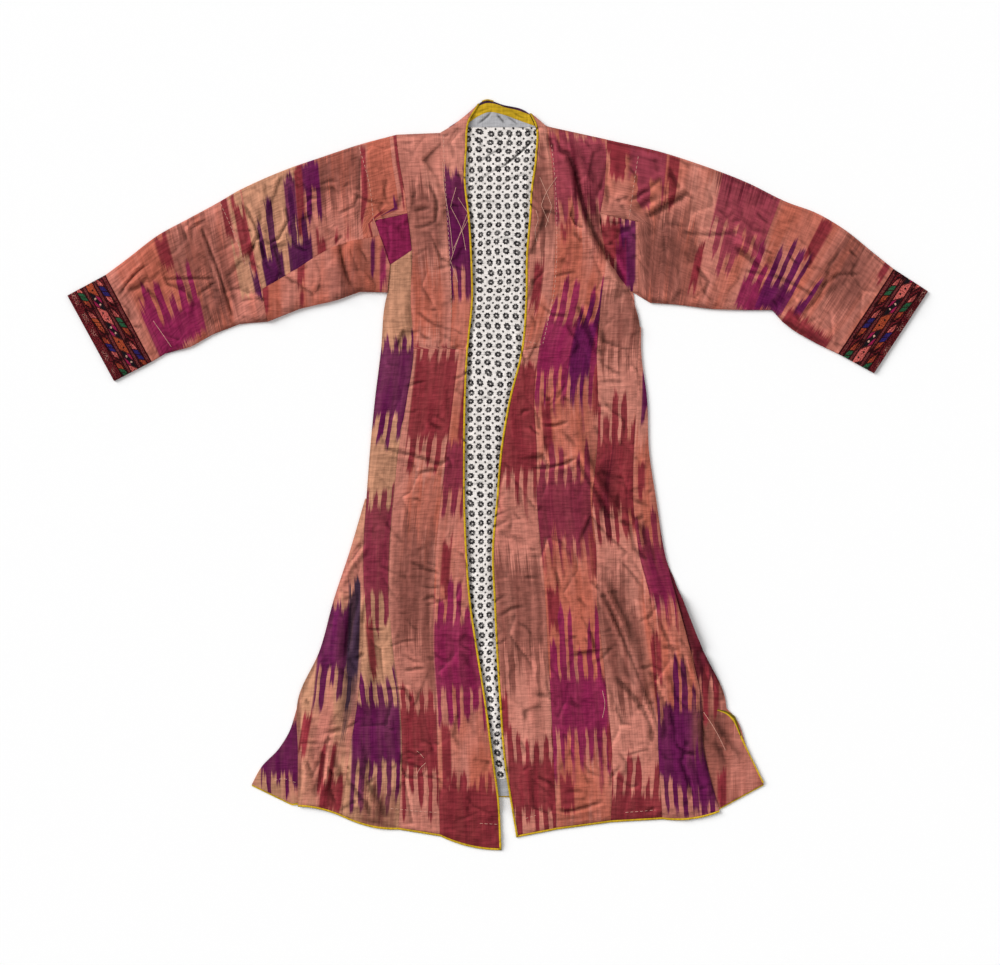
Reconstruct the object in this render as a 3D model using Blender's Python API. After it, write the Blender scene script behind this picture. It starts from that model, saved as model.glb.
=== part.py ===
"""An Uzbek chapan robe that lies flat with its front up and its sleeves spread.

The frame is the laid robe's own: +X towards the wearer's left sleeve, +Y towards the neck, +Z up,
with the origin on the surface below the middle of the outline. All sizes below are millimetres.
"""

import math

import bmesh
import bpy

MM = 0.001
COLLECTION = "chapan robe"

# Layers, from the surface up: back cloth, lining or facing, front cloth.
CLOTH = 1.8
LINING = 1.0
AIR = 0.3
CUFF_WALL = 2.0
BINDING_WALL = 2.2
BINDING_WIDTH = 4.0
BACK_BINDING_WIDTH = 2.5
BINDING_LIFT = 0.2
CUFF_LIFT = 0.3
SEAM = 0.3

EDGE_UNDERSIDE = CLOTH + AIR
LINED_UNDERSIDE = CLOTH + AIR + LINING + AIR
EDGE_RUN = 30.0
OVERHANG_START = 6.0
OVERHANG_RUN = 34.0
SETTLE_RUN = 12.0
BACK_INSIDE = 1.2
GUSSET_INSET = 0.012
SHARP_DEGREES = 50
ROLL_INSET = 4.0
ROLL_CLEARANCE = 1.0

# The front layer's unevenness: its mean height, then wide and long waves and their lengths.
SWELL_MEAN = 1.6
WIDE_SWELL, WIDE_ACROSS, WIDE_ALONG, WIDE_START = 0.9, 47, 61, 1.3
LONG_SWELL, LONG_SPAN, LONG_SLANT = 0.7, 83, 1.7

# How many rows fill one step of a seam's points, and how many cells go across each piece.
ROWS = 3
PANEL_COLUMNS = {
    "right_gore": 4, "right_side": 4, "right_front": 5, "right_front_wedge": 4,
    "left_front_wedge": 4, "left_front": 5, "left_side": 4, "left_gore": 4,
}
NECKBAND_COLUMNS = 3
GUSSET_COLUMNS = 3
SLEEVE_BACK_COLUMNS = 5
CUFF_COLUMNS = 7
CUFF_BACK_COLUMNS = 4
BACK_GORE_COLUMNS = 6
LINING_COLUMNS = 6
BACK_BINDING_CELLS = 42
# A step between two lines across a sleeve shorter than this is one row.
SHORT_STEP = 12
RIGHT_SLEEVE_ROWS = (2, 2, 2, 2, 2, 1, 3, 3, 3, 3)
LEFT_SLEEVE_ROWS = (2, 2, 2, 2, 3, 3, 3, 3)

# Seams across the front at each level below the armholes, from the wearer's right to the left.
LEVEL_COLUMNS = (
    "y", "right_out", "right_gore", "right_side", "right_wedge", "right_edge",
    "left_edge", "left_wedge", "left_side", "left_gore", "left_roll", "left_out",
)
LEVELS = (
    (206, -193, None, -139, -64, -49, 38, 68, 163, 231, None, 236),
    (124, -203, None, -150, -74, -53, 18, 60, 165, 229, None, 246),
    (41, -211, None, -164, -84, -54, 4, 64, 163, 224, None, 249),
    (-41, -219, -216, -172, -94, -54, -3, 64, 155, 223, None, 261),
    (-124, -244, -222, -178, -102, -51, -10, 71, 162, 231, None, 274),
    (-206, -271, -221, -179, -106, -45, -7, 78, 163, 251, 295, 305),
    (-289, -294, -224, -173, -107, -33, -3, 82, 172, 259, 317, 338),
    (-371, -330, -231, -162, -102, -20, 2, 87, 180, 262, 335, 375),
    (-454, -365, -244, -158, -99, -9, 8, 91, 188, 264, 340, 412),
)

# Where each seam runs out at the front hem.
HEM_ENDS = {
    "right_over": (-330, -547),
    "right_gore": (-257, -564),
    "right_side": (-164, -585),
    "right_wedge": (-96, -596),
    "right_edge": (6, -619),
    "left_edge": (30, -598),
    "left_wedge": (97, -585),
    "left_side": (186, -573),
    "left_gore": (271, -568),
    "left_roll": (365, -556),
}

# Where the right opening edge passes the back hem.
RIGHT_EDGE_AT_HEM = (2, -536)

# How far each front panel's hem bows below the straight line between its seams.
HEM_BOWS = {"right_gore": -4, "right_side": 6, "right_front_wedge": 6, "left_gore": 6}

BACK_HEM = (
    (-406, -513), (-340, -545), (-277, -536), (0, -531), (284, -536), (363, -553), (438, -512),
)

# Seams above the first level, from the shoulder down.
RIGHT_ARMHOLE = ((-168, 561), (-166, 543), (-162, 512), (-153, 462), (-149, 431))
RIGHT_GUSSET = {
    "shoulder": (-149, 431), "sleeve": (-203, 419), "side": (-178, 346), "front": (-142, 370),
}
RIGHT_NECK_SEAM = (
    (-96, 564), (-94, 545), (-91, 513), (-87, 462), (-85, 431), (-81, 370), (-76, 289), (-79, 210),
)
RIGHT_NECK_EDGE = (
    (-30, 612), (-47, 582), (-51, 536), (-53, 487), (-46, 420), (-42, 350), (-41, 289), (-49, 206),
)
LEFT_ARMHOLE = ((180, 553), (179, 535), (178, 512), (175, 462), (168, 431))
LEFT_GUSSET_FOLD = ((168, 431), (178, 358), (216, 303))
LEFT_GUSSET_SLEEVE = ((231, 417), (232, 358), (231, 300))
# The left gusset's own edges, a seam inside those two lines.
LEFT_GUSSET_LEFT = ((168.7, 430), (178.5, 358.5), (216.3, 303.6))
LEFT_GUSSET_RIGHT = ((230.6, 416), (231.6, 358), (230.6, 301))
LEFT_NECK_SEAM = (
    (80, 575), (83, 550), (88, 513), (91, 472), (93, 431), (94, 371), (87, 289), (68, 211),
)
LEFT_NECK_EDGE = (
    (52, 596), (60, 580), (61, 525), (54, 470), (51, 421), (46, 360), (45, 289), (38, 206),
)

# Lines across the sleeves, from the cuff to the armhole. Columns: top x, top y, low x, low y, and how
# far down the front layer the underarm piece begins, as a share of the width (1 where there is none).
RIGHT_STATIONS = (
    (-647, 330, -571, 187, 1),
    (-612, 356, -549, 200, 1),
    (-561, 395, -508, 211, 1),
    (-508, 424, -470, 232, 1),
    (-462, 449, -426, 249, 1),
    (-426, 470, -380, 253, 1),
    (-422, 472, -377, 254, 0.76),
    (-346, 505, -327, 274, 0.72),
    (-285, 526, -264, 289, 0.64),
    (-231, 544, -228, 302, 0.65),
)
LEFT_STATIONS = (
    (652, 340, 561, 200, 1),
    (617, 368, 523, 218, 1),
    (571, 405, 470, 252, 1),
    (523, 433, 452, 272, 1),
    (479, 449, 408, 272, 1),
    (409, 483, 350, 274, 1),
    (333, 512, 294, 281, 1),
    (271, 532, 251, 284, 1),
)

# How far the neckband's upper end dips below the straight line between its corners.
NECK_DIP = 4

# How the left sleeve's points share its width, so that they run clear of the gusset's corner.
LEFT_SHARES = (0, 0.125, 0.25, 0.375, 0.5, 0.6, 0.7, 0.78, 0.88, 0.94, 1)
RIGHT_CUFF_END = (-710, 296, -633, 155)
LEFT_CUFF_END = (709, 303, 620, 168)
RIGHT_ARMPIT = (-182, 301)
LEFT_ARMPIT = (223, 301)
UNDERARM_POINT = 0.34

# The back's upper edge, from the right shoulder along the neck to the left one.
BACK_SHOULDERS = (
    (-168, 561), (-132, 561), (-96, 564), (-81, 573), (-38, 573), (4, 573), (44, 573),
    (84, 573), (116, 566), (148, 559), (180, 553),
)

# The neck's back, which lies flat behind the opening: lower seam, then the fold at the top.
COLLAR_LOWER = ((-81, 573.6), (-38, 573.6), (4, 573.6), (44, 573.6), (84, 573.6))
COLLAR_MIDDLE = ((-62, 586), (-32, 590), (6, 592), (42, 588), (66, 584))
COLLAR_UPPER = ((-28, 615), (-22, 617), (10, 610), (44, 601), (54, 594))
FACING_TOP = ((-26, 613), (-10, 612), (12, 606), (33, 601), (49, 595))
FACING_MIDDLE = ((-43, 586), (-19, 599), (8, 594), (33, 585), (56, 577))
FACING_LOW = ((-43, 573.4), (-18, 573.4), (8, 573.4), (33, 573.4), (56, 573.4))

# The lining from the neck to its hem facing, narrower than the back by a hidden margin.
# Columns: y, x at the wearer's right, x at the left.
LINING_ROWS = (
    (573, -58, 71),
    (536, -76, 82),
    (454, -112, 119),
    (289, -142, 178),
    (124, -158, 201),
    (-41, -175, 218),
    (-206, -219, 251),
    (-371, -250, 284),
    (-501, -277, 314),
)
FACING_DEPTH = 28

# The largest folds, as ridges of cloth. Columns: start x, start y, end x, end y, half width, height.
FOLDS = (
    (82, 530, 132, 446, 16, 11),
    (132, 446, 160, 366, 17, 12),
    (160, 366, 196, 300, 15, 9),
    (112, 534, 168, 452, 12, 6),
    (168, 452, 196, 372, 11, 5),
    (104, 76, 168, -22, 14, 7),
    (168, -22, 236, -120, 14, 8),
    (236, -120, 262, -200, 12, 5),
    (124, 36, 190, -66, 11, 5),
    (166, -180, 212, -280, 12, 5),
    (212, -280, 262, -420, 13, 6),
    (300, -190, 336, -290, 12, 9),
    (336, -290, 364, -368, 11, 8),
    (330, -400, 392, -470, 12, 5),
    (-262, -200, -270, -400, 14, 7),
    (-210, -190, -222, -380, 12, 6),
    (-250, -470, -204, -566, 13, 8),
    (-278, -470, -292, -540, 11, 6),
    (-318, -400, -318, -520, 10, 5),
    (-240, 390, -230, 312, 12, 7),
    (-268, 380, -262, 296, 10, 5),
    (-394, 460, -392, 372, 13, 4),
    (-612, 300, -560, 340, 12, 4),
    (-470, 262, -440, 360, 14, 4),
    (236, 430, 322, 372, 13, 5),
    (392, 390, 440, 348, 13, 6),
    (440, 348, 462, 290, 12, 5),
    (462, 262, 552, 226, 12, 6),
    (268, 500, 312, 440, 12, 4),
    (-104, 470, -98, 386, 10, 4),
    (60, -300, 44, -520, 14, 3),
    (-66, -250, -60, -420, 12, 4),
)

COLOURS = {
    "ikat": (0.52, 0.16, 0.12, 1.0),
    "purple ikat": (0.20, 0.03, 0.10, 1.0),
    "orange ikat": (0.60, 0.20, 0.09, 1.0),
    "lining print": (0.78, 0.77, 0.74, 1.0),
    "grey facing": (0.40, 0.43, 0.49, 1.0),
    "yellow binding": (0.62, 0.42, 0.03, 1.0),
    "cuff tape": (0.09, 0.02, 0.02, 1.0),
}
ROUGHNESS = {"ikat": 0.62, "purple ikat": 0.62, "orange ikat": 0.62, "yellow binding": 0.7}
PLAIN_ROUGHNESS = 0.85


def lerp(a, b, share):
    return a + (b - a) * share


def mix(p, q, share):
    return tuple(lerp(a, b, share) for a, b in zip(p, q))


def smooth(share):
    share = min(max(share, 0.0), 1.0)
    return share * share * (3 - 2 * share)


def segment_place(x, y, start, end):
    """Distance from a point to a segment, and how far along the segment the nearest place is."""
    dx, dy = end[0] - start[0], end[1] - start[1]
    along = ((x - start[0]) * dx + (y - start[1]) * dy) / (dx * dx + dy * dy)
    near = min(max(along, 0.0), 1.0)
    return math.hypot(x - start[0] - near * dx, y - start[1] - near * dy), along


def distance_to(line, x, y):
    return min(segment_place(x, y, p, q)[0] for p, q in zip(line, line[1:]))


def height_on(line, x):
    """The y of a line, whose points run one way in x, at a given x."""
    points = sorted(line)
    for p, q in zip(points, points[1:]):
        if x <= q[0]:
            return lerp(p[1], q[1], (x - p[0]) / (q[0] - p[0]))
    return points[-1][1]


def level_points(column, first=0, last=None):
    """One seam's points, level by level."""
    index = LEVEL_COLUMNS.index(column)
    return [(row[index], row[0]) for row in LEVELS[first:last] if row[index] is not None]


def shifted(points, dx=0.0, dy=0.0):
    return [(x + dx, y + dy) for x, y in points]


def subdivided(points, parts):
    """The points with each step between two of them cut into equal parts."""
    fine = [mix(p, q, k / parts) for p, q in zip(points, points[1:]) for k in range(parts)]
    return fine + [points[-1]]


# ---- Seams, joined from the tables ----

RIGHT_EDGE = list(RIGHT_NECK_EDGE) + level_points("right_edge", 1)
RIGHT_EDGE += [RIGHT_EDGE_AT_HEM, HEM_ENDS["right_edge"]]
LEFT_EDGE = list(LEFT_NECK_EDGE) + level_points("left_edge", 1) + [HEM_ENDS["left_edge"]]
RIGHT_OVER = [(-330, -371), (-330, -454), HEM_ENDS["right_over"]]
RIGHT_GORE_OUT = [(-219, -39)] + level_points("right_out", 4, 7) + RIGHT_OVER
LEFT_GORE_OUT = (
    [(236, 244)] + level_points("left_out", 0, 5) + level_points("left_roll")
    + [HEM_ENDS["left_roll"]]
)
STEP_UNDER_BAND = (-64, 207.5)


def outline():
    """The front layer's outline, once round, from the neck's right corner."""
    right_top = [row[0:2] for row in RIGHT_STATIONS]
    right_low = [row[2:4] for row in RIGHT_STATIONS]
    left_top = [row[0:2] for row in LEFT_STATIONS]
    left_low = [row[2:4] for row in LEFT_STATIONS]
    line = [RIGHT_NECK_EDGE[0], RIGHT_NECK_SEAM[0], RIGHT_ARMHOLE[0]]
    line += right_top[::-1] + [RIGHT_CUFF_END[0:2], RIGHT_CUFF_END[2:4]] + right_low
    line += [RIGHT_ARMPIT] + level_points("right_out", 0, 3) + RIGHT_GORE_OUT
    line += [HEM_ENDS[name] for name in ("right_gore", "right_side", "right_wedge", "right_edge")]
    line += [HEM_ENDS[name] for name in ("left_edge", "left_wedge", "left_side", "left_gore")]
    line += LEFT_GORE_OUT[::-1] + [LEFT_GUSSET_FOLD[2], LEFT_GUSSET_SLEEVE[2]]
    line += left_low[::-1] + [LEFT_CUFF_END[2:4], LEFT_CUFF_END[0:2]] + left_top
    return line + [LEFT_ARMHOLE[0], LEFT_NECK_SEAM[0], LEFT_NECK_EDGE[0]]


OUTLINE = outline()


# ---- Heights ----

def swell(x, y):
    """The gentle unevenness of laid cloth."""
    wide = WIDE_SWELL * math.sin(x / WIDE_ACROSS + WIDE_START) * math.cos(y / WIDE_ALONG)
    long = LONG_SWELL * math.sin((x + LONG_SLANT * y) / LONG_SPAN)
    return SWELL_MEAN + wide + long


def relief(x, y):
    """What the folds and the unevenness add to the front layer."""
    rise = swell(x, y)
    for x0, y0, x1, y1, half_width, height in FOLDS:
        away, along = segment_place(x, y, (x0, y0), (x1, y1))
        fade = smooth((1.25 - abs(2 * along - 1)) / 0.5)
        rise += height * fade * math.exp(-((away / half_width) ** 2))
    return rise


def underside(x, y):
    """How high the front layer's lower face lies where it has no folds."""
    inside = smooth(distance_to(OUTLINE, x, y) / EDGE_RUN)
    opening = min(distance_to(RIGHT_EDGE, x, y), distance_to(LEFT_EDGE, x, y))
    by_opening = 1 - smooth((opening - EDGE_RUN / 2) / (EDGE_RUN / 2))
    level = lerp(EDGE_UNDERSIDE, LINED_UNDERSIDE, max(inside, by_opening))
    past_hem = height_on(BACK_HEM, min(max(x, BACK_HEM[0][0]), BACK_HEM[-1][0])) - y
    return level * (1 - smooth((past_hem - OVERHANG_START) / OVERHANG_RUN))


def front_top(x, y):
    """The front layer's upper face."""
    settled = smooth(distance_to(OUTLINE, x, y) / SETTLE_RUN)
    return underside(x, y) + CLOTH + settled * relief(x, y)


def on_back(x, y):
    return CLOTH


def on_lining(x, y):
    return CLOTH + AIR + LINING


def back_gore_top(x, y):
    """The left back gore rises in a rolled fold where it passes the front gore."""
    rise = 0.0
    for x0, y0, x1, y1, half_width, height in FOLDS:
        if x0 > 290 and y0 < 0:
            away, along = segment_place(x, y, (x0, y0), (x1, y1))
            fade = smooth((1.1 - abs(2 * along - 1)) / 0.4)
            rise += height * fade * math.exp(-((away / (0.6 * half_width)) ** 2))
    beyond = x > roll_line(y) + 2 * ROLL_CLEARANCE
    return CLOTH + (rise if beyond else 0.0)


def roll_line(y):
    points = sorted((q[1], q[0]) for q in LEFT_GORE_OUT)
    for p, q in zip(points, points[1:]):
        if y <= q[0]:
            return lerp(p[1], q[1], (y - p[0]) / (q[0] - p[0]))
    return points[-1][1]


# ---- Plans: rows of points that a piece of cloth is laid on ----

def even(count):
    return tuple(k / count for k in range(count + 1))


def ladder(left, right, columns, rows=ROWS):
    """Rows from a left seam to a right one, whose points pair up."""
    shares = columns if isinstance(columns, tuple) else even(columns)
    sides = zip(subdivided(left, rows), subdivided(right, rows))
    return [[mix(p, q, share) for share in shares] for p, q in sides]


def slab(columns, rows):
    """A flat grid with a copy below it and walls round it: one closed sheet, one unit thick."""
    mesh = bmesh.new()
    bmesh.ops.create_grid(mesh, x_segments=columns, y_segments=rows, size=0.5)
    for vert in mesh.verts:
        vert.co = ((vert.co.x + 0.5) * columns, (vert.co.y + 0.5) * rows, 0.0)
    copied = bmesh.ops.extrude_face_region(mesh, geom=mesh.faces[:], use_keep_orig=True)
    for item in copied["geom"]:
        if isinstance(item, bmesh.types.BMVert):
            item.co.z = 1.0
    return mesh


def material_named(name):
    found = bpy.data.materials.get(name)
    if found:
        return found
    made = bpy.data.materials.new(name)
    made.use_nodes = True
    shader = made.node_tree.nodes["Principled BSDF"]
    shader.inputs["Base Color"].default_value = COLOURS[name]
    shader.inputs["Roughness"].default_value = ROUGHNESS.get(name, PLAIN_ROUGHNESS)
    made.diffuse_color = COLOURS[name]
    return made


def add_piece(name, columns, rows, place, material):
    """A slab bent to its place: place(column, row, depth) gives millimetres."""
    shape = slab(columns, rows)
    for vert in shape.verts:
        column, row, depth = round(vert.co.x), round(vert.co.y), vert.co.z
        vert.co = [MM * size for size in place(column, row, depth)]
    bmesh.ops.recalc_face_normals(shape, faces=shape.faces[:])
    if shape.calc_volume(signed=True) < 0:
        bmesh.ops.reverse_faces(shape, faces=shape.faces[:])
    mesh = bpy.data.meshes.new(name)
    shape.to_mesh(mesh)
    shape.free()
    mesh.shade_smooth()
    mesh.set_sharp_from_angle(angle=math.radians(SHARP_DEGREES))
    mesh.materials.append(material_named(material))
    piece = bpy.data.objects.new(name, mesh)
    bpy.data.collections[COLLECTION].objects.link(piece)
    return piece


def lay(name, plan, top, wall, material):
    """A sheet laid on a plan, with its upper face at top(x, y)."""
    def place(column, row, depth):
        x, y = plan[row][column]
        return x, y, top(x, y) - depth * wall
    return add_piece(name, len(plan[0]) - 1, len(plan) - 1, place, material)


# ---- Front panels ----

def front_seams(name):
    """The two seams that bound a front panel, with points that pair up."""
    half = SEAM / 2
    strip = BINDING_WIDTH + SEAM
    ends = {key: [point] for key, point in HEM_ENDS.items()}
    gusset = RIGHT_GUSSET
    if name == "right_gore":
        left = RIGHT_GORE_OUT
        right = [(-217, -39)] + level_points("right_gore", 4) + ends["right_gore"]
    elif name == "right_side":
        left = [gusset["side"], RIGHT_ARMPIT, (-185, 289)] + level_points("right_out", 0, 3)
        left += [(-217, -39)] + level_points("right_gore", 4) + ends["right_gore"]
        right = [gusset["front"], (-143, 329.5), (-144, 289)] + level_points("right_side", 0, 3)
        right += [(-171.8, -39)] + level_points("right_side", 4) + ends["right_side"]
    elif name == "right_front":
        left = list(RIGHT_ARMHOLE) + [gusset["front"], (-144, 289), (-139, 208), (-139, 206)]
        left += level_points("right_side", 1) + ends["right_side"]
        right = list(RIGHT_NECK_SEAM[:-1]) + [(-79, 209.5), STEP_UNDER_BAND]
        right += level_points("right_wedge", 1) + ends["right_wedge"]
    elif name == "right_front_wedge":
        left = [STEP_UNDER_BAND] + level_points("right_wedge", 1)
        left += [mix(left[-1], HEM_ENDS["right_wedge"], 0.5)] + ends["right_wedge"]
        right = [(-49, 205.5)] + level_points("right_edge", 1)
        right += [RIGHT_EDGE_AT_HEM] + ends["right_edge"]
        return shifted(left, half), shifted(right, -strip)
    elif name == "left_front_wedge":
        left = [(38, 205.5)] + level_points("left_edge", 1) + ends["left_edge"]
        right = [(68, 210.5)] + level_points("left_wedge", 1) + ends["left_wedge"]
        return shifted(left, strip), shifted(right, -half)
    elif name == "left_front":
        left = list(LEFT_NECK_SEAM[:-1]) + [(68, 210.5)]
        left += level_points("left_wedge", 1) + ends["left_wedge"]
        right = list(LEFT_ARMHOLE) + [LEFT_GUSSET_FOLD[1], (170, 289)]
        right += level_points("left_side") + ends["left_side"]
    elif name == "left_side":
        left = [(178, 357), (172, 306), (170, 289), (166.5, 247)]
        left += level_points("left_side") + ends["left_side"]
        right = [(182, 352), LEFT_GUSSET_FOLD[2], (222, 289), (233.5, 247)]
        right += level_points("left_gore") + ends["left_gore"]
    else:
        left = [(234, 244)] + level_points("left_gore") + ends["left_gore"]
        right = LEFT_GORE_OUT
    return shifted(left, half), shifted(right, -half)


def add_front_panels():
    """Each panel stops short of the hem by the binding's width."""
    for name, columns in PANEL_COLUMNS.items():
        left, right = front_seams(name)
        plan = ladder(left, right, columns)
        hem = hem_steps(name.split("_")[0])
        plan[-1] = [(x, height_on(hem, x) + BINDING_WIDTH + SEAM) for x, _ in plan[-1]]
        lay(name, plan, front_top, CLOTH, "ikat")


def add_neckbands():
    half = SEAM / 2
    strip = BINDING_WIDTH + SEAM
    columns = NECKBAND_COLUMNS
    right = ladder(shifted(RIGHT_NECK_SEAM, half), shifted(RIGHT_NECK_EDGE, -strip), columns)
    right[0] = [(x, y - NECK_DIP * 4 * s * (1 - s)) for (x, y), s in zip(right[0], even(columns))]
    lay("right_neckband", right, front_top, CLOTH, "orange ikat")
    left_seam = [(x - half, y + half) for x, y in LEFT_NECK_SEAM]
    left = ladder(shifted(LEFT_NECK_EDGE, strip, half), left_seam, columns)
    lay("left_neckband", left, front_top, CLOTH, "ikat")


def binding_top(x, y):
    return front_top(x, y) + BINDING_LIFT


def hem_steps(side):
    """The hem's points from the opening edge outwards, at every panel's own columns."""
    order = {
        "right": ("right_edge", "right_wedge", "right_side", "right_gore", "right_over"),
        "left": ("left_edge", "left_wedge", "left_side", "left_gore", "left_roll"),
    }[side]
    panels = {
        "right": ("right_front_wedge", "right_front", "right_side", "right_gore"),
        "left": ("left_front_wedge", "left_front", "left_side", "left_gore"),
    }[side]
    points = [HEM_ENDS[order[0]]]
    for name, start, end in zip(panels, order, order[1:]):
        count = PANEL_COLUMNS[name]
        for k in range(1, count + 1):
            share = k / count
            x, y = mix(HEM_ENDS[start], HEM_ENDS[end], share)
            points.append((x, y - HEM_BOWS.get(name, 0) * 4 * share * (1 - share)))
    return points


def add_bindings():
    """One folded strip each side, down the opening edge and out along the hem."""
    for side, edge, inwards in (("right", RIGHT_EDGE, -1), ("left", LEFT_EDGE, 1)):
        hem = hem_steps(side)
        corner = edge[-1][0] + inwards * BINDING_WIDTH
        down = subdivided(edge, 2)
        outer = down + hem[1:]
        inner = shifted(down[:-1], inwards * BINDING_WIDTH)
        inner += [(corner, height_on(hem, corner) + BINDING_WIDTH)]
        inner += shifted(hem[1:], 0, BINDING_WIDTH)
        plan = [[p, q] for p, q in zip(outer, inner)]
        lay(f"{side}_binding", plan, binding_top, BINDING_WALL - BINDING_LIFT, "yellow binding")


# ---- Sleeves ----

def station_lines(stations, shares, back_columns, end_front, end_back, rows):
    """Lines across a sleeve, cuff to armhole: front points from below up, back ones from above."""
    lines = []
    for top_x, top_y, low_x, low_y, underarm in stations:
        top, low = (top_x, top_y), (low_x, low_y)
        start = mix(top, low, underarm)
        front = [mix(start, top, share) for share in shares]
        back = [mix(top, low, k / back_columns) for k in range(back_columns + 1)]
        lines.append(front + back)
    lines.append(list(end_front) + list(end_back))
    fine = []
    for number, (line, after) in enumerate(zip(lines, lines[1:])):
        closeness = math.dist(line[-1], after[-1])
        parts = 1 if closeness < SHORT_STEP else rows[number]
        for k in range(parts):
            fine.append([mix(p, q, k / parts) for p, q in zip(line, after)])
    return fine + [lines[-1]]


def tube(name, lines, columns, wall, material, lift=0.0):
    """A flat tube, open at both ends and along its lower seam, folded over its upper edge."""
    top_index = columns
    middle = (EDGE_UNDERSIDE + CLOTH) / 2

    def ring(line):
        edge = line[top_index]
        before, after = line[top_index - 1], line[top_index + 2]
        near = mix(edge, before, ROLL_INSET / math.dist(edge, before))
        near_back = mix(edge, after, ROLL_INSET / math.dist(edge, after))
        inner_edge = mix(edge, after, wall / math.dist(edge, after))
        front = [(x, y, front_top(x, y) + lift, -wall) for x, y in line[:top_index] + [near]]
        back = [(x, y, 0.0, wall) for x, y in [near_back] + line[top_index + 2:]]
        return front, (edge, inner_edge), back

    rings = [ring(line) for line in lines]

    def place(column, row, depth):
        front, (edge, inner_edge), back = rings[row]
        if column < len(front):
            x, y, z, inwards = front[column]
            return x, y, z + depth * inwards
        if column == len(front):
            x, y = mix(edge, inner_edge, depth)
            return x, y, middle
        x, y, z, inwards = back[column - len(front) - 1]
        return x, y, z + depth * inwards

    front, _, back = rings[0]
    return add_piece(name, len(front) + len(back), len(rings) - 1, place, material)


def add_right_sleeve():
    gusset = RIGHT_GUSSET
    point = mix(gusset["sleeve"], gusset["side"], UNDERARM_POINT)
    along_gusset = [mix(gusset["sleeve"], gusset["shoulder"], k / 3) for k in range(3)]
    end_front = shifted([point] + along_gusset + list(RIGHT_ARMHOLE[::-1]), -SEAM / 2)
    columns = len(end_front) - 1
    back_columns = SLEEVE_BACK_COLUMNS
    end_back = shifted([mix(RIGHT_ARMHOLE[0], RIGHT_ARMPIT, share) for share in even(back_columns)],
                       -SEAM / 2)
    first = tuple(a + b for a, b in zip(RIGHT_STATIONS[0], (SEAM / 2, 0, SEAM / 2, 0, 0)))
    stations = (first,) + RIGHT_STATIONS[1:]
    lines = station_lines(stations, even(columns), back_columns, end_front, end_back,
                          RIGHT_SLEEVE_ROWS)
    tube("right_sleeve", lines, columns, CLOTH, "ikat")
    knots = [(mix(row[0:2], row[2:4], row[4]), row[2:4]) for row in RIGHT_STATIONS[6:]]
    knots[0] = (knots[0][0], RIGHT_STATIONS[5][2:4])
    upper = [(p[0] + (SEAM if k == 0 else 0), p[1] - SEAM) for k, (p, _) in enumerate(knots)]
    lower = [(q[0] + (SEAM if k == 0 else 0), q[1]) for k, (_, q) in enumerate(knots)]
    left = upper + [(point[0] - SEAM, point[1] - SEAM)]
    right = lower + [(RIGHT_ARMPIT[0] - SEAM, RIGHT_ARMPIT[1])]
    plan = ladder(left, right, 4)
    corner = shifted([mix(point, gusset["side"], 0.5), gusset["side"]], -SEAM)
    plan[-1] = [plan[-1][0], corner[0], corner[1], mix(corner[1], plan[-1][-1], 0.5), plan[-1][-1]]
    lay("right_underarm", plan, front_top, CLOTH, "orange ikat")


def add_left_sleeve():
    fold, sleeve = LEFT_GUSSET_FOLD, LEFT_GUSSET_SLEEVE
    up_side = [mix(sleeve[2], sleeve[1], k / 2) for k in range(2)]
    up_side += [mix(sleeve[1], sleeve[0], k / 2) for k in range(2)]
    across = [mix(sleeve[0], fold[0], k / 2) for k in range(2)]
    end_front = shifted(up_side + across + list(LEFT_ARMHOLE[::-1]), SEAM / 2)
    columns = len(end_front) - 1
    back_columns = SLEEVE_BACK_COLUMNS
    end_back = shifted([mix(LEFT_ARMHOLE[0], LEFT_ARMPIT, share) for share in even(back_columns)],
                       SEAM / 2)
    first = tuple(a - b for a, b in zip(LEFT_STATIONS[0], (SEAM / 2, 0, SEAM / 2, 0, 0)))
    stations = (first,) + LEFT_STATIONS[1:]
    lines = station_lines(stations, LEFT_SHARES, back_columns, end_front, end_back,
                          LEFT_SLEEVE_ROWS)
    tube("left_sleeve", lines, columns, CLOTH, "ikat")


def add_cuffs():
    """A band of woven tape round each sleeve's end."""
    for side, stations, end, outwards in (
        ("right", RIGHT_STATIONS, RIGHT_CUFF_END, -1),
        ("left", LEFT_STATIONS, LEFT_CUFF_END, 1),
    ):
        top_x, top_y, low_x, low_y, _ = stations[0]
        start = (end[0], end[1], end[2], end[3], 1)
        shift = outwards * SEAM / 2
        join = ((top_x + shift, top_y), (low_x + shift, low_y))
        shares = even(CUFF_COLUMNS)
        front = [mix(join[1], join[0], share) for share in shares]
        back = [mix(join[0], join[1], share) for share in even(CUFF_BACK_COLUMNS)]
        lines = station_lines((start,), shares, CUFF_BACK_COLUMNS, front, back, (ROWS,))
        tube(f"{side}_cuff", lines, CUFF_COLUMNS, CUFF_WALL, "cuff tape", lift=CUFF_LIFT)


def add_gussets():
    corners = RIGHT_GUSSET
    middle = mix(mix(corners["shoulder"], corners["side"], 0.5),
                 mix(corners["sleeve"], corners["front"], 0.5), 0.5)
    inset = {key: mix(point, middle, GUSSET_INSET) for key, point in corners.items()}
    left = [inset["sleeve"], inset["side"]]
    right = [inset["shoulder"], inset["front"]]
    plan = ladder(left, right, GUSSET_COLUMNS)
    lay("right_gusset", plan, front_top, CLOTH, "purple ikat")
    plan = ladder(LEFT_GUSSET_LEFT, LEFT_GUSSET_RIGHT, GUSSET_COLUMNS)
    lay("left_gusset", plan, front_top, CLOTH, "purple ikat")


# ---- Back ----

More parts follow.
